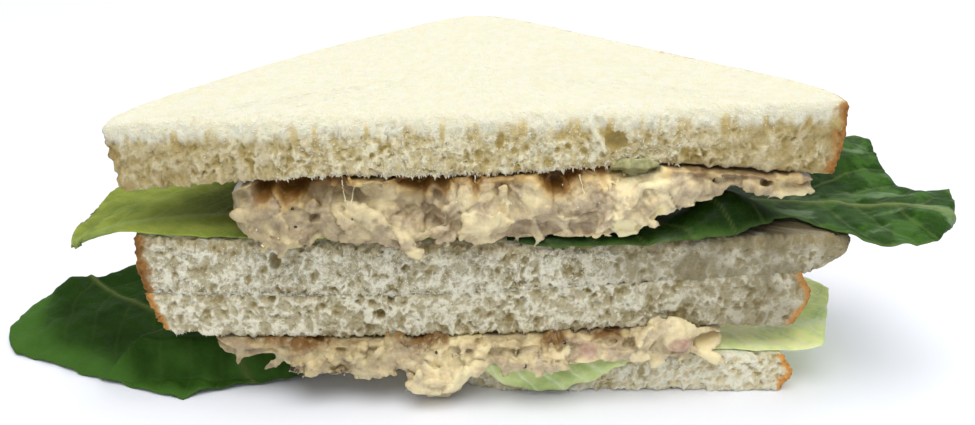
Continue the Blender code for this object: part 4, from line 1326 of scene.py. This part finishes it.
def flake_relief(points):
    """(how far out each point goes, hollows, each flake's own number) for flaked fish.

    Large and small flakes are tilted planes that overlap like torn shingles. Each large one has
    its own direction, along which its fibres run as low ridges, and dressing rounds them off.
    """
    bent = points + 1.3 * np.stack([rough(points, 4.0, 2, s) for s in (31, 34, 37)], axis=-1)
    plane, border, number = facets(bent, 6.4, 41)
    finer = bent + 0.3 * noise(points, 1.2, 39)[:, None]
    fine_plane, fine_border, fine_number = facets(finer, 2.6, 47)
    turn = number * math.pi
    lengthways = points[:, 0] * np.cos(turn) + points[:, 2] * np.sin(turn)
    across = points[:, 2] * np.cos(turn) - points[:, 0] * np.sin(turn)
    strand_space = np.stack([lengthways * 0.14, across, points[:, 1] * 0.4], axis=-1)
    flaky = smooth(0.35 + 1.2 * noise(points, 7.0, 63))
    fibres = (noise(strand_space, 0.8, 61) + 0.5 * noise(strand_space, 0.45, 62)) * flaky
    pits = bubbles(bent, 2.8, 0.25, 0.1, 0.36, 71)
    creamy = noise(bent, 3.4, 83) + 0.5 * noise(bent, 1.9, 84)
    out = 0.75 * plane + 0.45 * (number - 0.5) - 0.22 * border * flaky + 0.45 * creamy
    out = out + (0.10 + 0.30 * flaky) * (0.65 * fine_plane + 0.35 * (fine_number - 0.5))
    out = out - 0.08 * fine_border * flaky + 0.26 * fibres + 0.16 * rough(points, 1.6, 3, 81)
    out = out - 0.6 * pits
    low = smooth(-0.2 - out)
    worn = 0.45 * border * flaky + 0.2 * fine_border * flaky + 0.8 * low + pits
    hollow = np.clip(worn + 0.35 * smooth(-fibres * 1.5), 0.0, 1.0)
    return out, hollow, number


def make_heap(heap, settings):
    """A heap of tuna salad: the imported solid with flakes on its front, melted into one skin.

    The skin stands out by the flakes' relief where its front is free. Under the slice above it
    falls back, by a limit in height that is uneven along the heap, so that a dark gap shows.
    """
    rng = np.random.default_rng(heap.seed)
    is_upper = heap is UPPER_HEAP
    points, triangles = merged_copy(heap.node)
    points, faces = joined([(points, [triangles])] + shreds_on(heap, points, triangles, rng))
    obj = mesh_object(heap.node + "_salad", points, faces)
    melt(obj, VOXEL * (1.0), MELT_ROUNDS)
    points, faces = largest_piece(obj.data)
    bpy.data.objects.remove(obj)
    obj = mesh_object(heap.node + "_salad", points, [faces])
    points, normals = read_points(obj.data)
    x, y, z = points.T
    out, hollow, number = flake_relief(points)
    frayed = points + 0.5 * noise(points, 1.2, 95)[:, None]
    pink, green = within(frayed, heap.dice), within(points, heap.green)
    roof, floor = along(x, heap.roof), along(x, heap.floor)

    # the height over which the gap opens, measured down from the slice above
    run = points * (1.0, 0.0, 0.0)
    uneven = smooth(0.5 + 0.55 * noise(run, 7.0, 91) + 0.35 * noise(run, 2.3, 92))
    limit = heap.gap[0] + (heap.gap[1] - heap.gap[0]) * uneven
    limit = limit * (1.0 - 0.85 * smooth((x - heap.gap_end) / 4.0))
    for middle, _, half, _ in heap.green:
        limit = limit - 3.0 * smooth(1.4 - np.abs(x - middle) / (half + 1.0))
    under = roof - z + 0.5 * noise(points, 1.6, 93)
    has_gap = smooth((heap.gap_end + 2.0 - x) / 4.0) * smooth((x - heap.start - 2.0) / 3.0)
    sunk = 4.5 * smooth(0.5 + (limit - under) / 2.2) * (1.0 - green) * has_gap
    sunk = sunk * by_cut(y, 10.0, 10.0)
    sunk = sunk + 1.4 * smooth((y - CUT_Y + 1.0) / 2.5) * by_cut(y, 8.0, 5.0)

    # the flakes' relief, on what is free to stand out
    free = by_cut(y, 3.0, 3.0) * by_cut(y, 0.5, 1.0)
    boxed_in = smooth(np.minimum(roof - z, z - floor - 1.2) / 1.2)
    forward = smooth((-normals[:, 1] - 0.1) / 0.4) * by_cut(y, 6.0, 2.0)
    loose = np.maximum(np.maximum(free, boxed_in * 0.6), forward * 0.85)
    out = out * loose * (1.0 - np.maximum(0.85 * pink, 0.3 * green)) * settings.relief
    out *= 0.4 + 0.6 * smooth((x - heap.start) / 14.0)
    points = points + normals * out[:, None]
    x, y, z = points.T

    # the masks of the painted shade in the gap and under the bread above, then the last move
    # backwards
    # the upper heap's right half also gets painted shade under the bread
    covered = np.maximum(has_gap, 0.42 * is_upper * (x > 0)) * (1.0 - green)
    gap_shade = smooth(0.5 + (limit + 0.9 - under) / 1.8) * (under < 6.0) * covered
    warm_shade = smooth(0.5 + (limit + 2.0 - under) / 3.5) * (under < 7.0) * covered
    low_half = smooth((55.9 - z) / 1.2)
    points[:, 1] += sunk + green * (0.7 + 1.2 * low_half + 0.6 * noise(points, 1.3, 96))
    obj.data.vertices.foreach_set("co", (points * MM).ravel().astype(np.float32))
    obj.data.update()
    # painted shade where the skin sits behind the cut, and on the celery's lower half
    recess_shade = smooth((y - CUT_Y) / 2.5)
    paint(obj.data, {
        "hollow": np.clip(hollow * loose + 0.5 * recess_shade + 0.8 * green * low_half, 0, 1),
        "under": gap_shade,
        "warm_shade": warm_shade * (1.0 if is_upper else 0.3 * has_gap),
        "number": number,
        "pale": np.interp(x, *np.array(heap.pale).T),
        "pink": pink,
        "celery": within(frayed, heap.green),
    })
    place(obj, heap.node, salad_finish(heap, settings))


def salad_finish(heap, settings):
    """Creamy flaked fish: pale dressing over greyer flesh, brown painted shade in the creases and
    under the bread above, moist on top.
    """
    finish = Finish(
        "salad_of_" + heap.node,
        Roughness=0.45, Specular_IOR_Level=0.4, Coat_Weight=0.28, Coat_Roughness=0.15,
    )
    hollow, number = finish.mask("hollow"), finish.mask("number")
    pink, celery = finish.mask("pink"), finish.mask("celery")
    cream = np.array(settings.cream_colour)
    patch = finish.steps(finish.sum(finish.grain(4.2, 4.0), finish.times(number, 0.30)), 0.44, 0.86)
    colour = finish.blend(patch, settings.flesh_colour, cream)
    butter = finish.spots(2.6, 3.0, 0.50, 0.70)
    colour = finish.over(colour, cream * (1.05, 1.03, 0.96), butter, 0.55)
    streak = finish.spots(0.8, 4.0, 0.42, 0.72, roughness=0.7)
    colour = finish.over(colour, cream * 1.10, streak, 0.30)
    # painted light and shade along the heap
    shade = finish.blend(finish.mask("pale"), (0.66, 0.635, 0.57), (1.12, 1.13, 1.12))
    colour = finish.blend(1.0, colour, shade, "MULTIPLY")
    # painted shade: crease colour in the hollows between flakes, behind the cut and under the
    # celery
    colour = finish.over(colour, settings.crease_colour, hollow, 0.65)
    # painted shade: an orange-brown band under the bread above
    shade_tint = finish.blend(1.0, colour, (0.86, 0.68, 0.36), "MULTIPLY")
    colour = finish.over(colour, shade_tint, finish.mask("warm_shade"), 0.85)
    # painted shade: near-black brown in the gap under the bread above
    gap = finish.times(finish.mask("under"), finish.spots(1.3, 3.0, 0.15, 0.5))
    colour = finish.over(colour, (0.19, 0.080, 0.008), gap, 0.94)
    fleck = finish.spots(1.2, 2.0, 0.35, 0.65)
    ham = finish.blend(fleck, (0.47, 0.22, 0.17), (0.58, 0.36, 0.27))
    colour = finish.over(colour, ham, pink, 0.6)
    stalk = finish.blend(fleck, (0.20, 0.225, 0.07), (0.36, 0.37, 0.155))
    # painted shade on the celery's lower half
    stalk = finish.over(stalk, (0.10, 0.095, 0.025), hollow, 0.8)
    finish.feed("Base Color", finish.over(colour, stalk, celery, 0.85))
    finish.relief((finish.grain(0.5, 4.0, 0.65), 0.20), (finish.grain(1.3, 3.0, 0.6), 0.32))
    finish.scatter(0.35, (1.8, 1.2, 0.6))
    return finish.material


# ---------------------------------------------------------------- strands, pepper and crumbs


def add_bits(name, node, parts, material, masks=None):
    """One piece of many small closed parts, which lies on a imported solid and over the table."""
    points, faces = joined(parts)
    points[:, 2] = np.maximum(points[:, 2], 0.0)
    obj = mesh_object(name, points, faces, masks)
    face_outwards(obj)
    place(obj, node, material, stands_for=False)


def bits_finish(name, tone, dark, light, bump, scatter=0.0, **sockets):
    """A dull finish of two colours, blended by grain, with a fine rough surface."""
    finish = Finish(name, **sockets)
    finish.feed("Base Color", finish.blend(finish.spots(*tone), dark, light))
    finish.relief((finish.grain(*bump[:2]), bump[2]))
    if scatter:
        finish.scatter(scatter, (1.0, 0.8, 0.5))
    return finish.material


def thread(start, end, thick, rng):
    """(points, faces) of a thin uneven strand between two points, thickest at its ends."""
    rings, count = 12, 6
    s = np.linspace(0.0, 1.0, rings)
    start, end = np.asarray(start, float), np.asarray(end, float)
    centres = start + (end - start) * s[:, None]
    centres += 0.12 * rng.normal(size=(rings, 3)) * np.sin(math.pi * s)[:, None]
    ahead = unit(np.gradient(centres, axis=0))
    aside = unit(np.cross(ahead, (0.0, 1.0, 0.0)))
    out = np.cross(ahead, aside)
    radius = thick * (0.55 + 0.75 * np.abs(2 * s - 1) ** 2) * rng.uniform(0.8, 1.2, rings)
    angles = round_angles(count)[:, None]
    around = np.cos(angles) * aside[:, None] + np.sin(angles) * out[:, None]
    points = centres[:, None] + radius[:, None, None] * around
    return np.concatenate([points.reshape(-1, 3), [start, end]]), tube_faces(rings, count)


def grit(middle, size, rng):
    """(points, faces) of a small broken lump: a ball whose points are pushed in and out."""
    rings, count = 4, 6
    polar = np.linspace(0.35, math.pi - 0.35, rings)[:, None]
    angles = round_angles(count)
    level, out = np.cos(polar) + 0 * angles, np.sin(polar)
    ball = np.stack([out * np.cos(angles), out * np.sin(angles), level], axis=-1)
    ball = ball * rng.uniform(0.65, 1.2, (rings, count, 1)) * size
    ends = np.array([(0.0, 0.0, size), (0.0, 0.0, -size)])
    points = np.concatenate([ball.reshape(-1, 3), ends]) * rng.uniform(0.7, 1.2, 3)
    return points + middle, tube_faces(rings, count)


PEPPER = {  # (x, z, size) of the grains on each salad
    "tuna_lower_salad": (
        (-43.0, 8.0, 0.65), (8.0, 11.2, 0.6), (-11.2, 12.9, 0.45), (16.8, 15.0, 0.5),
    ),
    "tuna_upper_salad": (
        (-40.6, 46.2, 0.5), (-39.9, 42.6, 0.4), (-28.0, 44.6, 0.35), (-13.0, 51.2, 0.5),
        (46.6, 52.4, 0.6),
    ),
}
CRUMBS = ((-10.8, 53.0, 0.5), (-9.4, 53.4, 0.4), (-11.9, 53.6, 0.35), (-8.3, 52.9, 0.3))
LOOSE_CRUMBS = 16  # crumbs besides these, anywhere on the upper salad
FLECKS = ((UPPER_LID, 1300), (UPPER_BASE, 1700), (LOWER_LID, 1500), (BASE, 400))
THREADS = (  # (x, z) of the upper end and of the lower end, on the upper salad
    ((-30.2, 51.8), (-29.4, 47.6)), ((-27.4, 51.6), (-28.2, 47.4)), ((-25.2, 51.4), (-25.8, 48.2)),
    ((-4.2, 52.9), (-3.9, 48.6)), ((-2.6, 52.9), (-2.0, 49.5)), ((19.0, 53.0), (20.0, 49.5)),
)
HANGING = (  # (x, z), (dx, dz) of small points that hang from the upper salad's lower edge
    ((-18.6, 38.6), (2.6, -1.4)), ((-8.0, 38.9), (-0.6, -1.6)), ((24.0, 41.2), (1.2, -1.4)),
    ((17.5, 42.0), (-0.4, -1.2)), ((-46.0, 39.2), (-1.0, -0.8)), ((36.0, 46.4), (1.6, -0.8)),
)


def make_strands():
    """Thin strands of dressed fish that still join the upper salad to the bread over it."""
    rng = np.random.default_rng(21)
    find = finder_on("tuna_upper_salad")
    parts = []
    for (x0, z0), (x1, z1) in THREADS:
        y = find(x1, z1)
        if y is None:
            raise RuntimeError(f"no salad under the strand at {x1}, {z1}")
        parts.append(thread((x0, CUT_Y + 0.4, z0), (x1, y + 0.3, z1), 0.15, rng))
    for (x, z), (dx, dz) in HANGING:
        y = find(x, z)
        if y is not None:
            parts.append(thread((x, y + 0.6, z), (x + dx, y - 0.2, z + dz), 0.42, rng))
    masks = {"number": 0.9, "pale": 1.0}
    masks.update(dict.fromkeys(("hollow", "pink", "celery", "under", "warm_shade"), 0.0))
    material = bpy.data.objects["tuna_upper_salad"].data.materials[0]
    add_bits("tuna_strands", "tuna_upper", parts, material, masks)


def make_pepper(settings):
    """Cracked black pepper pressed into both salads."""
    rng = np.random.default_rng(22)
    parts = []
    for name, spots in PEPPER.items():
        find = finder_on(name)
        for x, z, size in spots:
            y = find(x, z)
            if y is None:
                raise RuntimeError(f"no salad under the pepper at {x}, {z}")
            parts.append(grit((x, y + 0.1, z), size * settings.pepper_size, rng))
    material = bits_finish(
        "cracked_pepper", (0.4, 3.0, 0.35, 0.7), (0.012, 0.010, 0.012), (0.07, 0.055, 0.05),
        (0.2, 2.0, 0.06), Roughness=0.6,
    )
    add_bits("pepper", "tuna_lower", parts, material)


def shards(places, outward, lengths, widths, droop, rng):
    """(points, faces) of many tiny torn flecks of crumb, each a spindle with two rings of three.

    A fleck lies along a random direction close to the cut, turned down by its share of droop.
    """
    count = len(places)
    turn = rng.uniform(0.0, TAU, count)
    ahead = np.stack([np.cos(turn), -rng.uniform(0.0, 0.7, count), np.sin(turn)], axis=-1)
    ahead = unit(ahead * (1.0 - droop[:, None]) + droop[:, None] * np.array([0.0, -0.15, -1.0]))
    aside = unit(np.cross(ahead, outward + 0.3))
    out = np.cross(ahead, aside)
    second = np.arange(6) > 2  # whether a corner is on the second ring
    angles = np.arange(6) * TAU / 3.0 + second * TAU / 6.0
    width = widths[:, None] * rng.uniform(0.6, 1.3, (count, 6))
    shift = np.where(second, 0.18, -0.18) + rng.uniform(-0.08, 0.08, (count, 6))
    rings = (
        ahead[:, None] * (lengths[:, None] * shift)[..., None]
        + aside[:, None] * (np.cos(angles) * width)[..., None]
        + out[:, None] * (np.sin(angles) * width)[..., None]
    )
    tips = ahead[:, None] * lengths[:, None, None] * np.array([-0.5, 0.5])[:, None]
    points = np.concatenate([rings, tips], axis=1) + places[:, None]
    one = np.array([
        (6, 1, 0), (6, 2, 1), (6, 0, 2), (0, 1, 3), (1, 4, 3), (1, 2, 4), (2, 5, 4), (2, 0, 5),
        (0, 3, 5), (3, 4, 7), (4, 5, 7), (5, 3, 7),
    ])
    faces = (one + 8 * np.arange(count)[:, None, None]).reshape(-1, 3)
    return points.reshape(-1, 3), [faces]


def make_flecks():
    """White flecks of torn crumb that stand on the cut faces, thickest along the lower edges."""
    rng = np.random.default_rng(24)
    parts = []
    for piece, number in FLECKS:
        mesh = bpy.data.objects[piece.node + "_crumb"].data
        points, normals = read_points(mesh)
        masks = [np.empty(len(points), np.float32) for _ in range(3)]
        # the masks of hollows, crust and painted shade on the ends
        for name, values in zip(("pore", "crust", "shaded_end"), masks):
            mesh.attributes[name].data.foreach_get("value", values)
        hollow, crust, shaded_end = masks
        x, y, z = points.T
        low, high = along(x, piece.bottom), along(x, piece.top)
        share = (z - low) / (high - low)
        is_lid = piece in (UPPER_LID, LOWER_LID)
        likely = (np.abs(y - cut_line(piece, x)) < 1.5) * (crust < 0.04)
        likely = likely * smooth((-normals[:, 1] - 0.1) / 0.4)
        likely *= smooth((0.62 - hollow) / 0.4) * smooth((0.5 - shaded_end) / 0.4)
        likely *= 0.35 + 1.6 * smooth(1.0 - share / 0.14) * is_lid
        likely *= smooth((0.93 - share) / 0.2) * (0.3 + smooth(0.5 + noise(points, 5.0, 77)))
        number = min(number, np.count_nonzero(likely))
        chosen = rng.choice(len(points), number, replace=False, p=likely / likely.sum())
        fringe = smooth(1.0 - share[chosen] / 0.07) * is_lid
        lengths = (0.35 + 1.1 * rng.uniform(0.0, 1.0, number) ** 2) * (1.0 + 0.5 * fringe)
        widths = rng.uniform(0.08, 0.21, number) * (1.0 + 0.3 * fringe)
        places = points[chosen] + normals[chosen] * 0.05
        parts.append(shards(places, normals[chosen], lengths, widths, 0.75 * fringe, rng))
    material = bits_finish(
        "torn_fleck", (1.6, 3.0, 0.3, 0.7), (0.74, 0.68, 0.49), (0.85, 0.81, 0.65),
        (0.3, 3.0, 0.05), scatter=0.25, Roughness=0.95, Specular_IOR_Level=0.2,
    )
    add_bits("torn_flecks", "bread_upper_lid", parts, material)


def make_crumbs(settings):
    """White crumbs that fell from the cut on to the upper salad."""
    rng = np.random.default_rng(23)
    find = finder_on("tuna_upper_salad")
    scattered = [(rng.uniform(-50, 55), 0.0, rng.uniform(0.16, 0.3)) for _ in range(LOOSE_CRUMBS)]
    parts = []
    for x, z, size in (*CRUMBS, *scattered):
        roof, floor = float(along(x, UPPER_LID_BOTTOM)), float(along(x, UPPER_BASE_TOP))
        z = z or rng.uniform(floor + 1.0, roof - 0.5)
        y = find(x, z)
        if y is not None and y <= CUT_Y + 3.0:
            parts.append(grit((x, y, z), size * settings.crumb_size, rng))
    material = bits_finish(
        "fallen_crumb", (0.5, 3.0, 0.3, 0.7), (0.80, 0.74, 0.58), (0.93, 0.90, 0.80),
        (0.25, 3.0, 0.1), scatter=0.2, Roughness=0.95,
    )
    add_bits("fallen_crumbs", "bread_upper_lid", parts, material)


# ---------------------------------------------------------------- stage


TABLE_HALF = 3000.0  # half the width of the table top
SENSOR_WIDTH = 36.0  # of the camera, in millimetres
NEAREST = 0.01  # what the camera sees begins here, in metres
SKY_COLOUR = (0.95, 0.97, 1.0, 1.0)
LAMP_COLOUR = (1.0, 0.99, 0.97)


def aim(obj, target):
    """Turns a light to shine at a point."""
    obj.rotation_euler = (Vector(target) - obj.location).to_track_quat("-Z", "Y").to_euler()


def soft_light(name, place_at, size, power):
    """A round area light, in metres, that shines at the stack."""
    light = bpy.data.lights.new(name, "AREA")
    light.shape, light.size, light.energy, light.color = "DISK", size, power, LAMP_COLOUR
    obj = bpy.data.objects.new(name, light)
    obj.location = place_at
    bpy.context.scene.collection.objects.link(obj)
    aim(obj, (0.0, 0.0, 0.03))


def make_floor(settings):
    """A wide pale table top, whose finish is nearly even."""
    corners = TABLE_HALF * np.array([(-1, -1, 0), (1, -1, 0), (1, 1, 0), (-1, 1, 0)])
    floor = mesh_object("table_top", corners, [np.array([[0, 1, 2, 3]])])
    finish = Finish("pale_table", Roughness=0.5)
    pale = np.array(settings.floor_colour)
    finish.feed("Base Color", finish.blend(finish.grain(400.0, 2.0), pale * 0.99, pale))
    floor.data.materials.append(finish.material)


def make_camera(settings):
    """A camera before the stack that looks down at it."""
    camera = bpy.data.cameras.new("view")
    camera.sensor_width, camera.sensor_fit = SENSOR_WIDTH, "HORIZONTAL"
    camera.lens, camera.clip_start = settings.lens, NEAREST
    obj = bpy.data.objects.new("view", camera)
    obj.location = (0.0, -settings.distance, settings.height)
    obj.rotation_euler = (math.pi / 2 - settings.pitch, 0.0, 0.0)
    bpy.context.scene.collection.objects.link(obj)
    bpy.context.scene.camera = obj


# ---------------------------------------------------------------- settings

Float, Colour = bpy.props.FloatProperty, bpy.props.FloatVectorProperty


def colour_of(name, description, default):
    """A colour that the user can change."""
    return Colour(name=name, description=description, default=default, subtype="COLOR", size=3)


class BreadSettings(bpy.types.PropertyGroup):
    """Colours and relief of the slices."""

    crumb_colour: colour_of("Crumb", "Colour of the crumb's walls", (0.92, 0.885, 0.715))
    cream_colour: colour_of("Ground", "Colour of the crumb behind its walls", (0.57, 0.515, 0.35))
    hollow_colour: colour_of("Hollows", "Colour deep in the crumb", (0.345, 0.275, 0.125))
    face_colour: colour_of("Top face", "Colour of the top slice's face", (0.87, 0.845, 0.68))
    crust_colour: colour_of("Crust", "Colour of the browned crust", (0.47, 0.215, 0.055))
    pore_depth: Float(name="Pore depth", description="Share of the full crumb relief", default=1.0)
    grain: Float(
        name="Grain", description="Distance between points on a cut, in millimetres", default=0.27
    )


class LettuceSettings(bpy.types.PropertyGroup):
    """Thickness of the leaves."""

    blade: Float(name="Blade", description="Thickness of a blade, in millimetres", default=0.45)
    vein_height: Float(name="Veins", description="Height of the ribs, in millimetres", default=0.6)


class TunaSettings(bpy.types.PropertyGroup):
    """Colours and relief of the salad."""

    cream_colour: colour_of("Dressing", "Colour of the dressed flakes", (0.90, 0.775, 0.475))
    flesh_colour: colour_of("Flesh", "Colour of the bare flakes", (0.50, 0.39, 0.26))
    # the creases' colour serves as painted shade
    crease_colour: colour_of("Creases", "Colour deep between flakes", (0.20, 0.125, 0.04))
    relief: Float(name="Relief", description="Share of the full flake relief", default=1.0)


class SeasoningSettings(bpy.types.PropertyGroup):
    """Sizes of the small bits."""

    pepper_size: Float(name="Pepper", description="Scale of the pepper", default=1.0)
    crumb_size: Float(name="Crumbs", description="Scale of the fallen crumbs", default=1.0)


class StageSettings(bpy.types.PropertyGroup):
    """Table, lights and camera."""

    floor_colour: colour_of("Table", "Colour of the table top", (0.895, 0.915, 0.985))
    key_power: Float(name="Key light", description="Overhead light", default=31.0, subtype="POWER")
    fill_power: Float(
        name="Fill light", description="Light from behind", default=2.0, subtype="POWER"
    )
    sky: Float(name="Sky", description="Strength of the light from all round", default=0.52)
    lens: Float(name="Lens", description="Focal length, in millimetres", default=40.615)
    distance: Float(name="Distance", description="Ahead of the stack", default=0.237, unit="LENGTH")
    height: Float(name="Height", description="Over the table", default=0.142, unit="LENGTH")
    pitch: Float(
        name="Pitch", description="How far it looks down", default=math.radians(25), unit="ROTATION"
    )


# ---------------------------------------------------------------- operators


class SANDWICH_OT_bread(bpy.types.Operator):
    """Builds the four slices of bread"""

    bl_idname = "sandwich.bread"
    bl_label = "Bread"

    def execute(self, context):
        for piece in SLICES:
            make_slice(piece, context.scene.sandwich_bread)
        return {"FINISHED"}


class SANDWICH_OT_lettuce(bpy.types.Operator):
    """Builds the four lettuce leaves"""

    bl_idname = "sandwich.lettuce"
    bl_label = "Lettuce"

    def execute(self, context):
        for leaf in LEAVES:
            make_leaf(leaf, context.scene.sandwich_lettuce)
        return {"FINISHED"}


class SANDWICH_OT_tuna(bpy.types.Operator):
    """Builds the two heaps of tuna salad"""

    bl_idname = "sandwich.tuna"
    bl_label = "Tuna salad"

    def execute(self, context):
        for heap in (LOWER_HEAP, UPPER_HEAP):
            make_heap(heap, context.scene.sandwich_tuna)
        return {"FINISHED"}


class SANDWICH_OT_bits(bpy.types.Operator):
    """Adds strands, pepper, fallen crumbs and torn flecks to the finished bread and salad"""

    bl_idname = "sandwich.bits"
    bl_label = "Strands, pepper and crumbs"

    def execute(self, context):
        settings = context.scene.sandwich_seasoning
        make_strands()
        make_pepper(settings)
        make_crumbs(settings)
        make_flecks()
        return {"FINISHED"}


class SANDWICH_OT_stage(bpy.types.Operator):
    """Adds the table top, the lights and the camera"""

    bl_idname = "sandwich.stage"
    bl_label = "Stage"

    def execute(self, context):
        settings = context.scene.sandwich_stage
        make_floor(settings)
        make_camera(settings)
        soft_light("overhead", (0.05, -0.50, 1.8), 1.9, settings.key_power)
        soft_light("back", (0.3, 0.8, 0.7), 0.8, settings.fill_power)
        world = bpy.data.worlds.new("sky")
        world.use_nodes = True
        sky = world.node_tree.nodes["Background"].inputs
        sky["Color"].default_value = SKY_COLOUR
        sky["Strength"].default_value = settings.sky
        context.scene.world = world
        context.scene.view_settings.view_transform = "Standard"
        return {"FINISHED"}


class SANDWICH_PT_panel(bpy.types.Panel):
    """Lists the steps that build the sandwich"""

    bl_idname = "SANDWICH_PT_panel"
    bl_label = "Tuna salad sandwich"
    bl_space_type = "VIEW_3D"
    bl_region_type = "UI"
    bl_category = "Sandwich"

    def draw(self, context):
        for operator in OPERATORS:
            self.layout.operator(operator.bl_idname)


SETTINGS = {
    "sandwich_bread": BreadSettings,
    "sandwich_lettuce": LettuceSettings,
    "sandwich_tuna": TunaSettings,
    "sandwich_seasoning": SeasoningSettings,
    "sandwich_stage": StageSettings,
}
OPERATORS = (
    SANDWICH_OT_bread,
    SANDWICH_OT_lettuce,
    SANDWICH_OT_tuna,
    SANDWICH_OT_bits,
    SANDWICH_OT_stage,
)


def register():
    """Adds the settings, the operators and the panel."""
    for name, group in SETTINGS.items():
        bpy.utils.register_class(group)
        setattr(bpy.types.Scene, name, bpy.props.PointerProperty(type=group))
    for kind in (*OPERATORS, SANDWICH_PT_panel):
        bpy.utils.register_class(kind)


def unregister():
    """Takes them away again."""
    for kind in (SANDWICH_PT_panel, *reversed(OPERATORS)):
        bpy.utils.unregister_class(kind)
    for name, group in SETTINGS.items():
        delattr(bpy.types.Scene, name)
        bpy.utils.unregister_class(group)


def main():
    """Builds everything in order."""
    register()
    bpy.ops.sandwich.bread()
    bpy.ops.sandwich.lettuce()
    bpy.ops.sandwich.tuna()
    bpy.ops.sandwich.bits()
    bpy.ops.sandwich.stage()


if __name__ == "__main__":
    main()
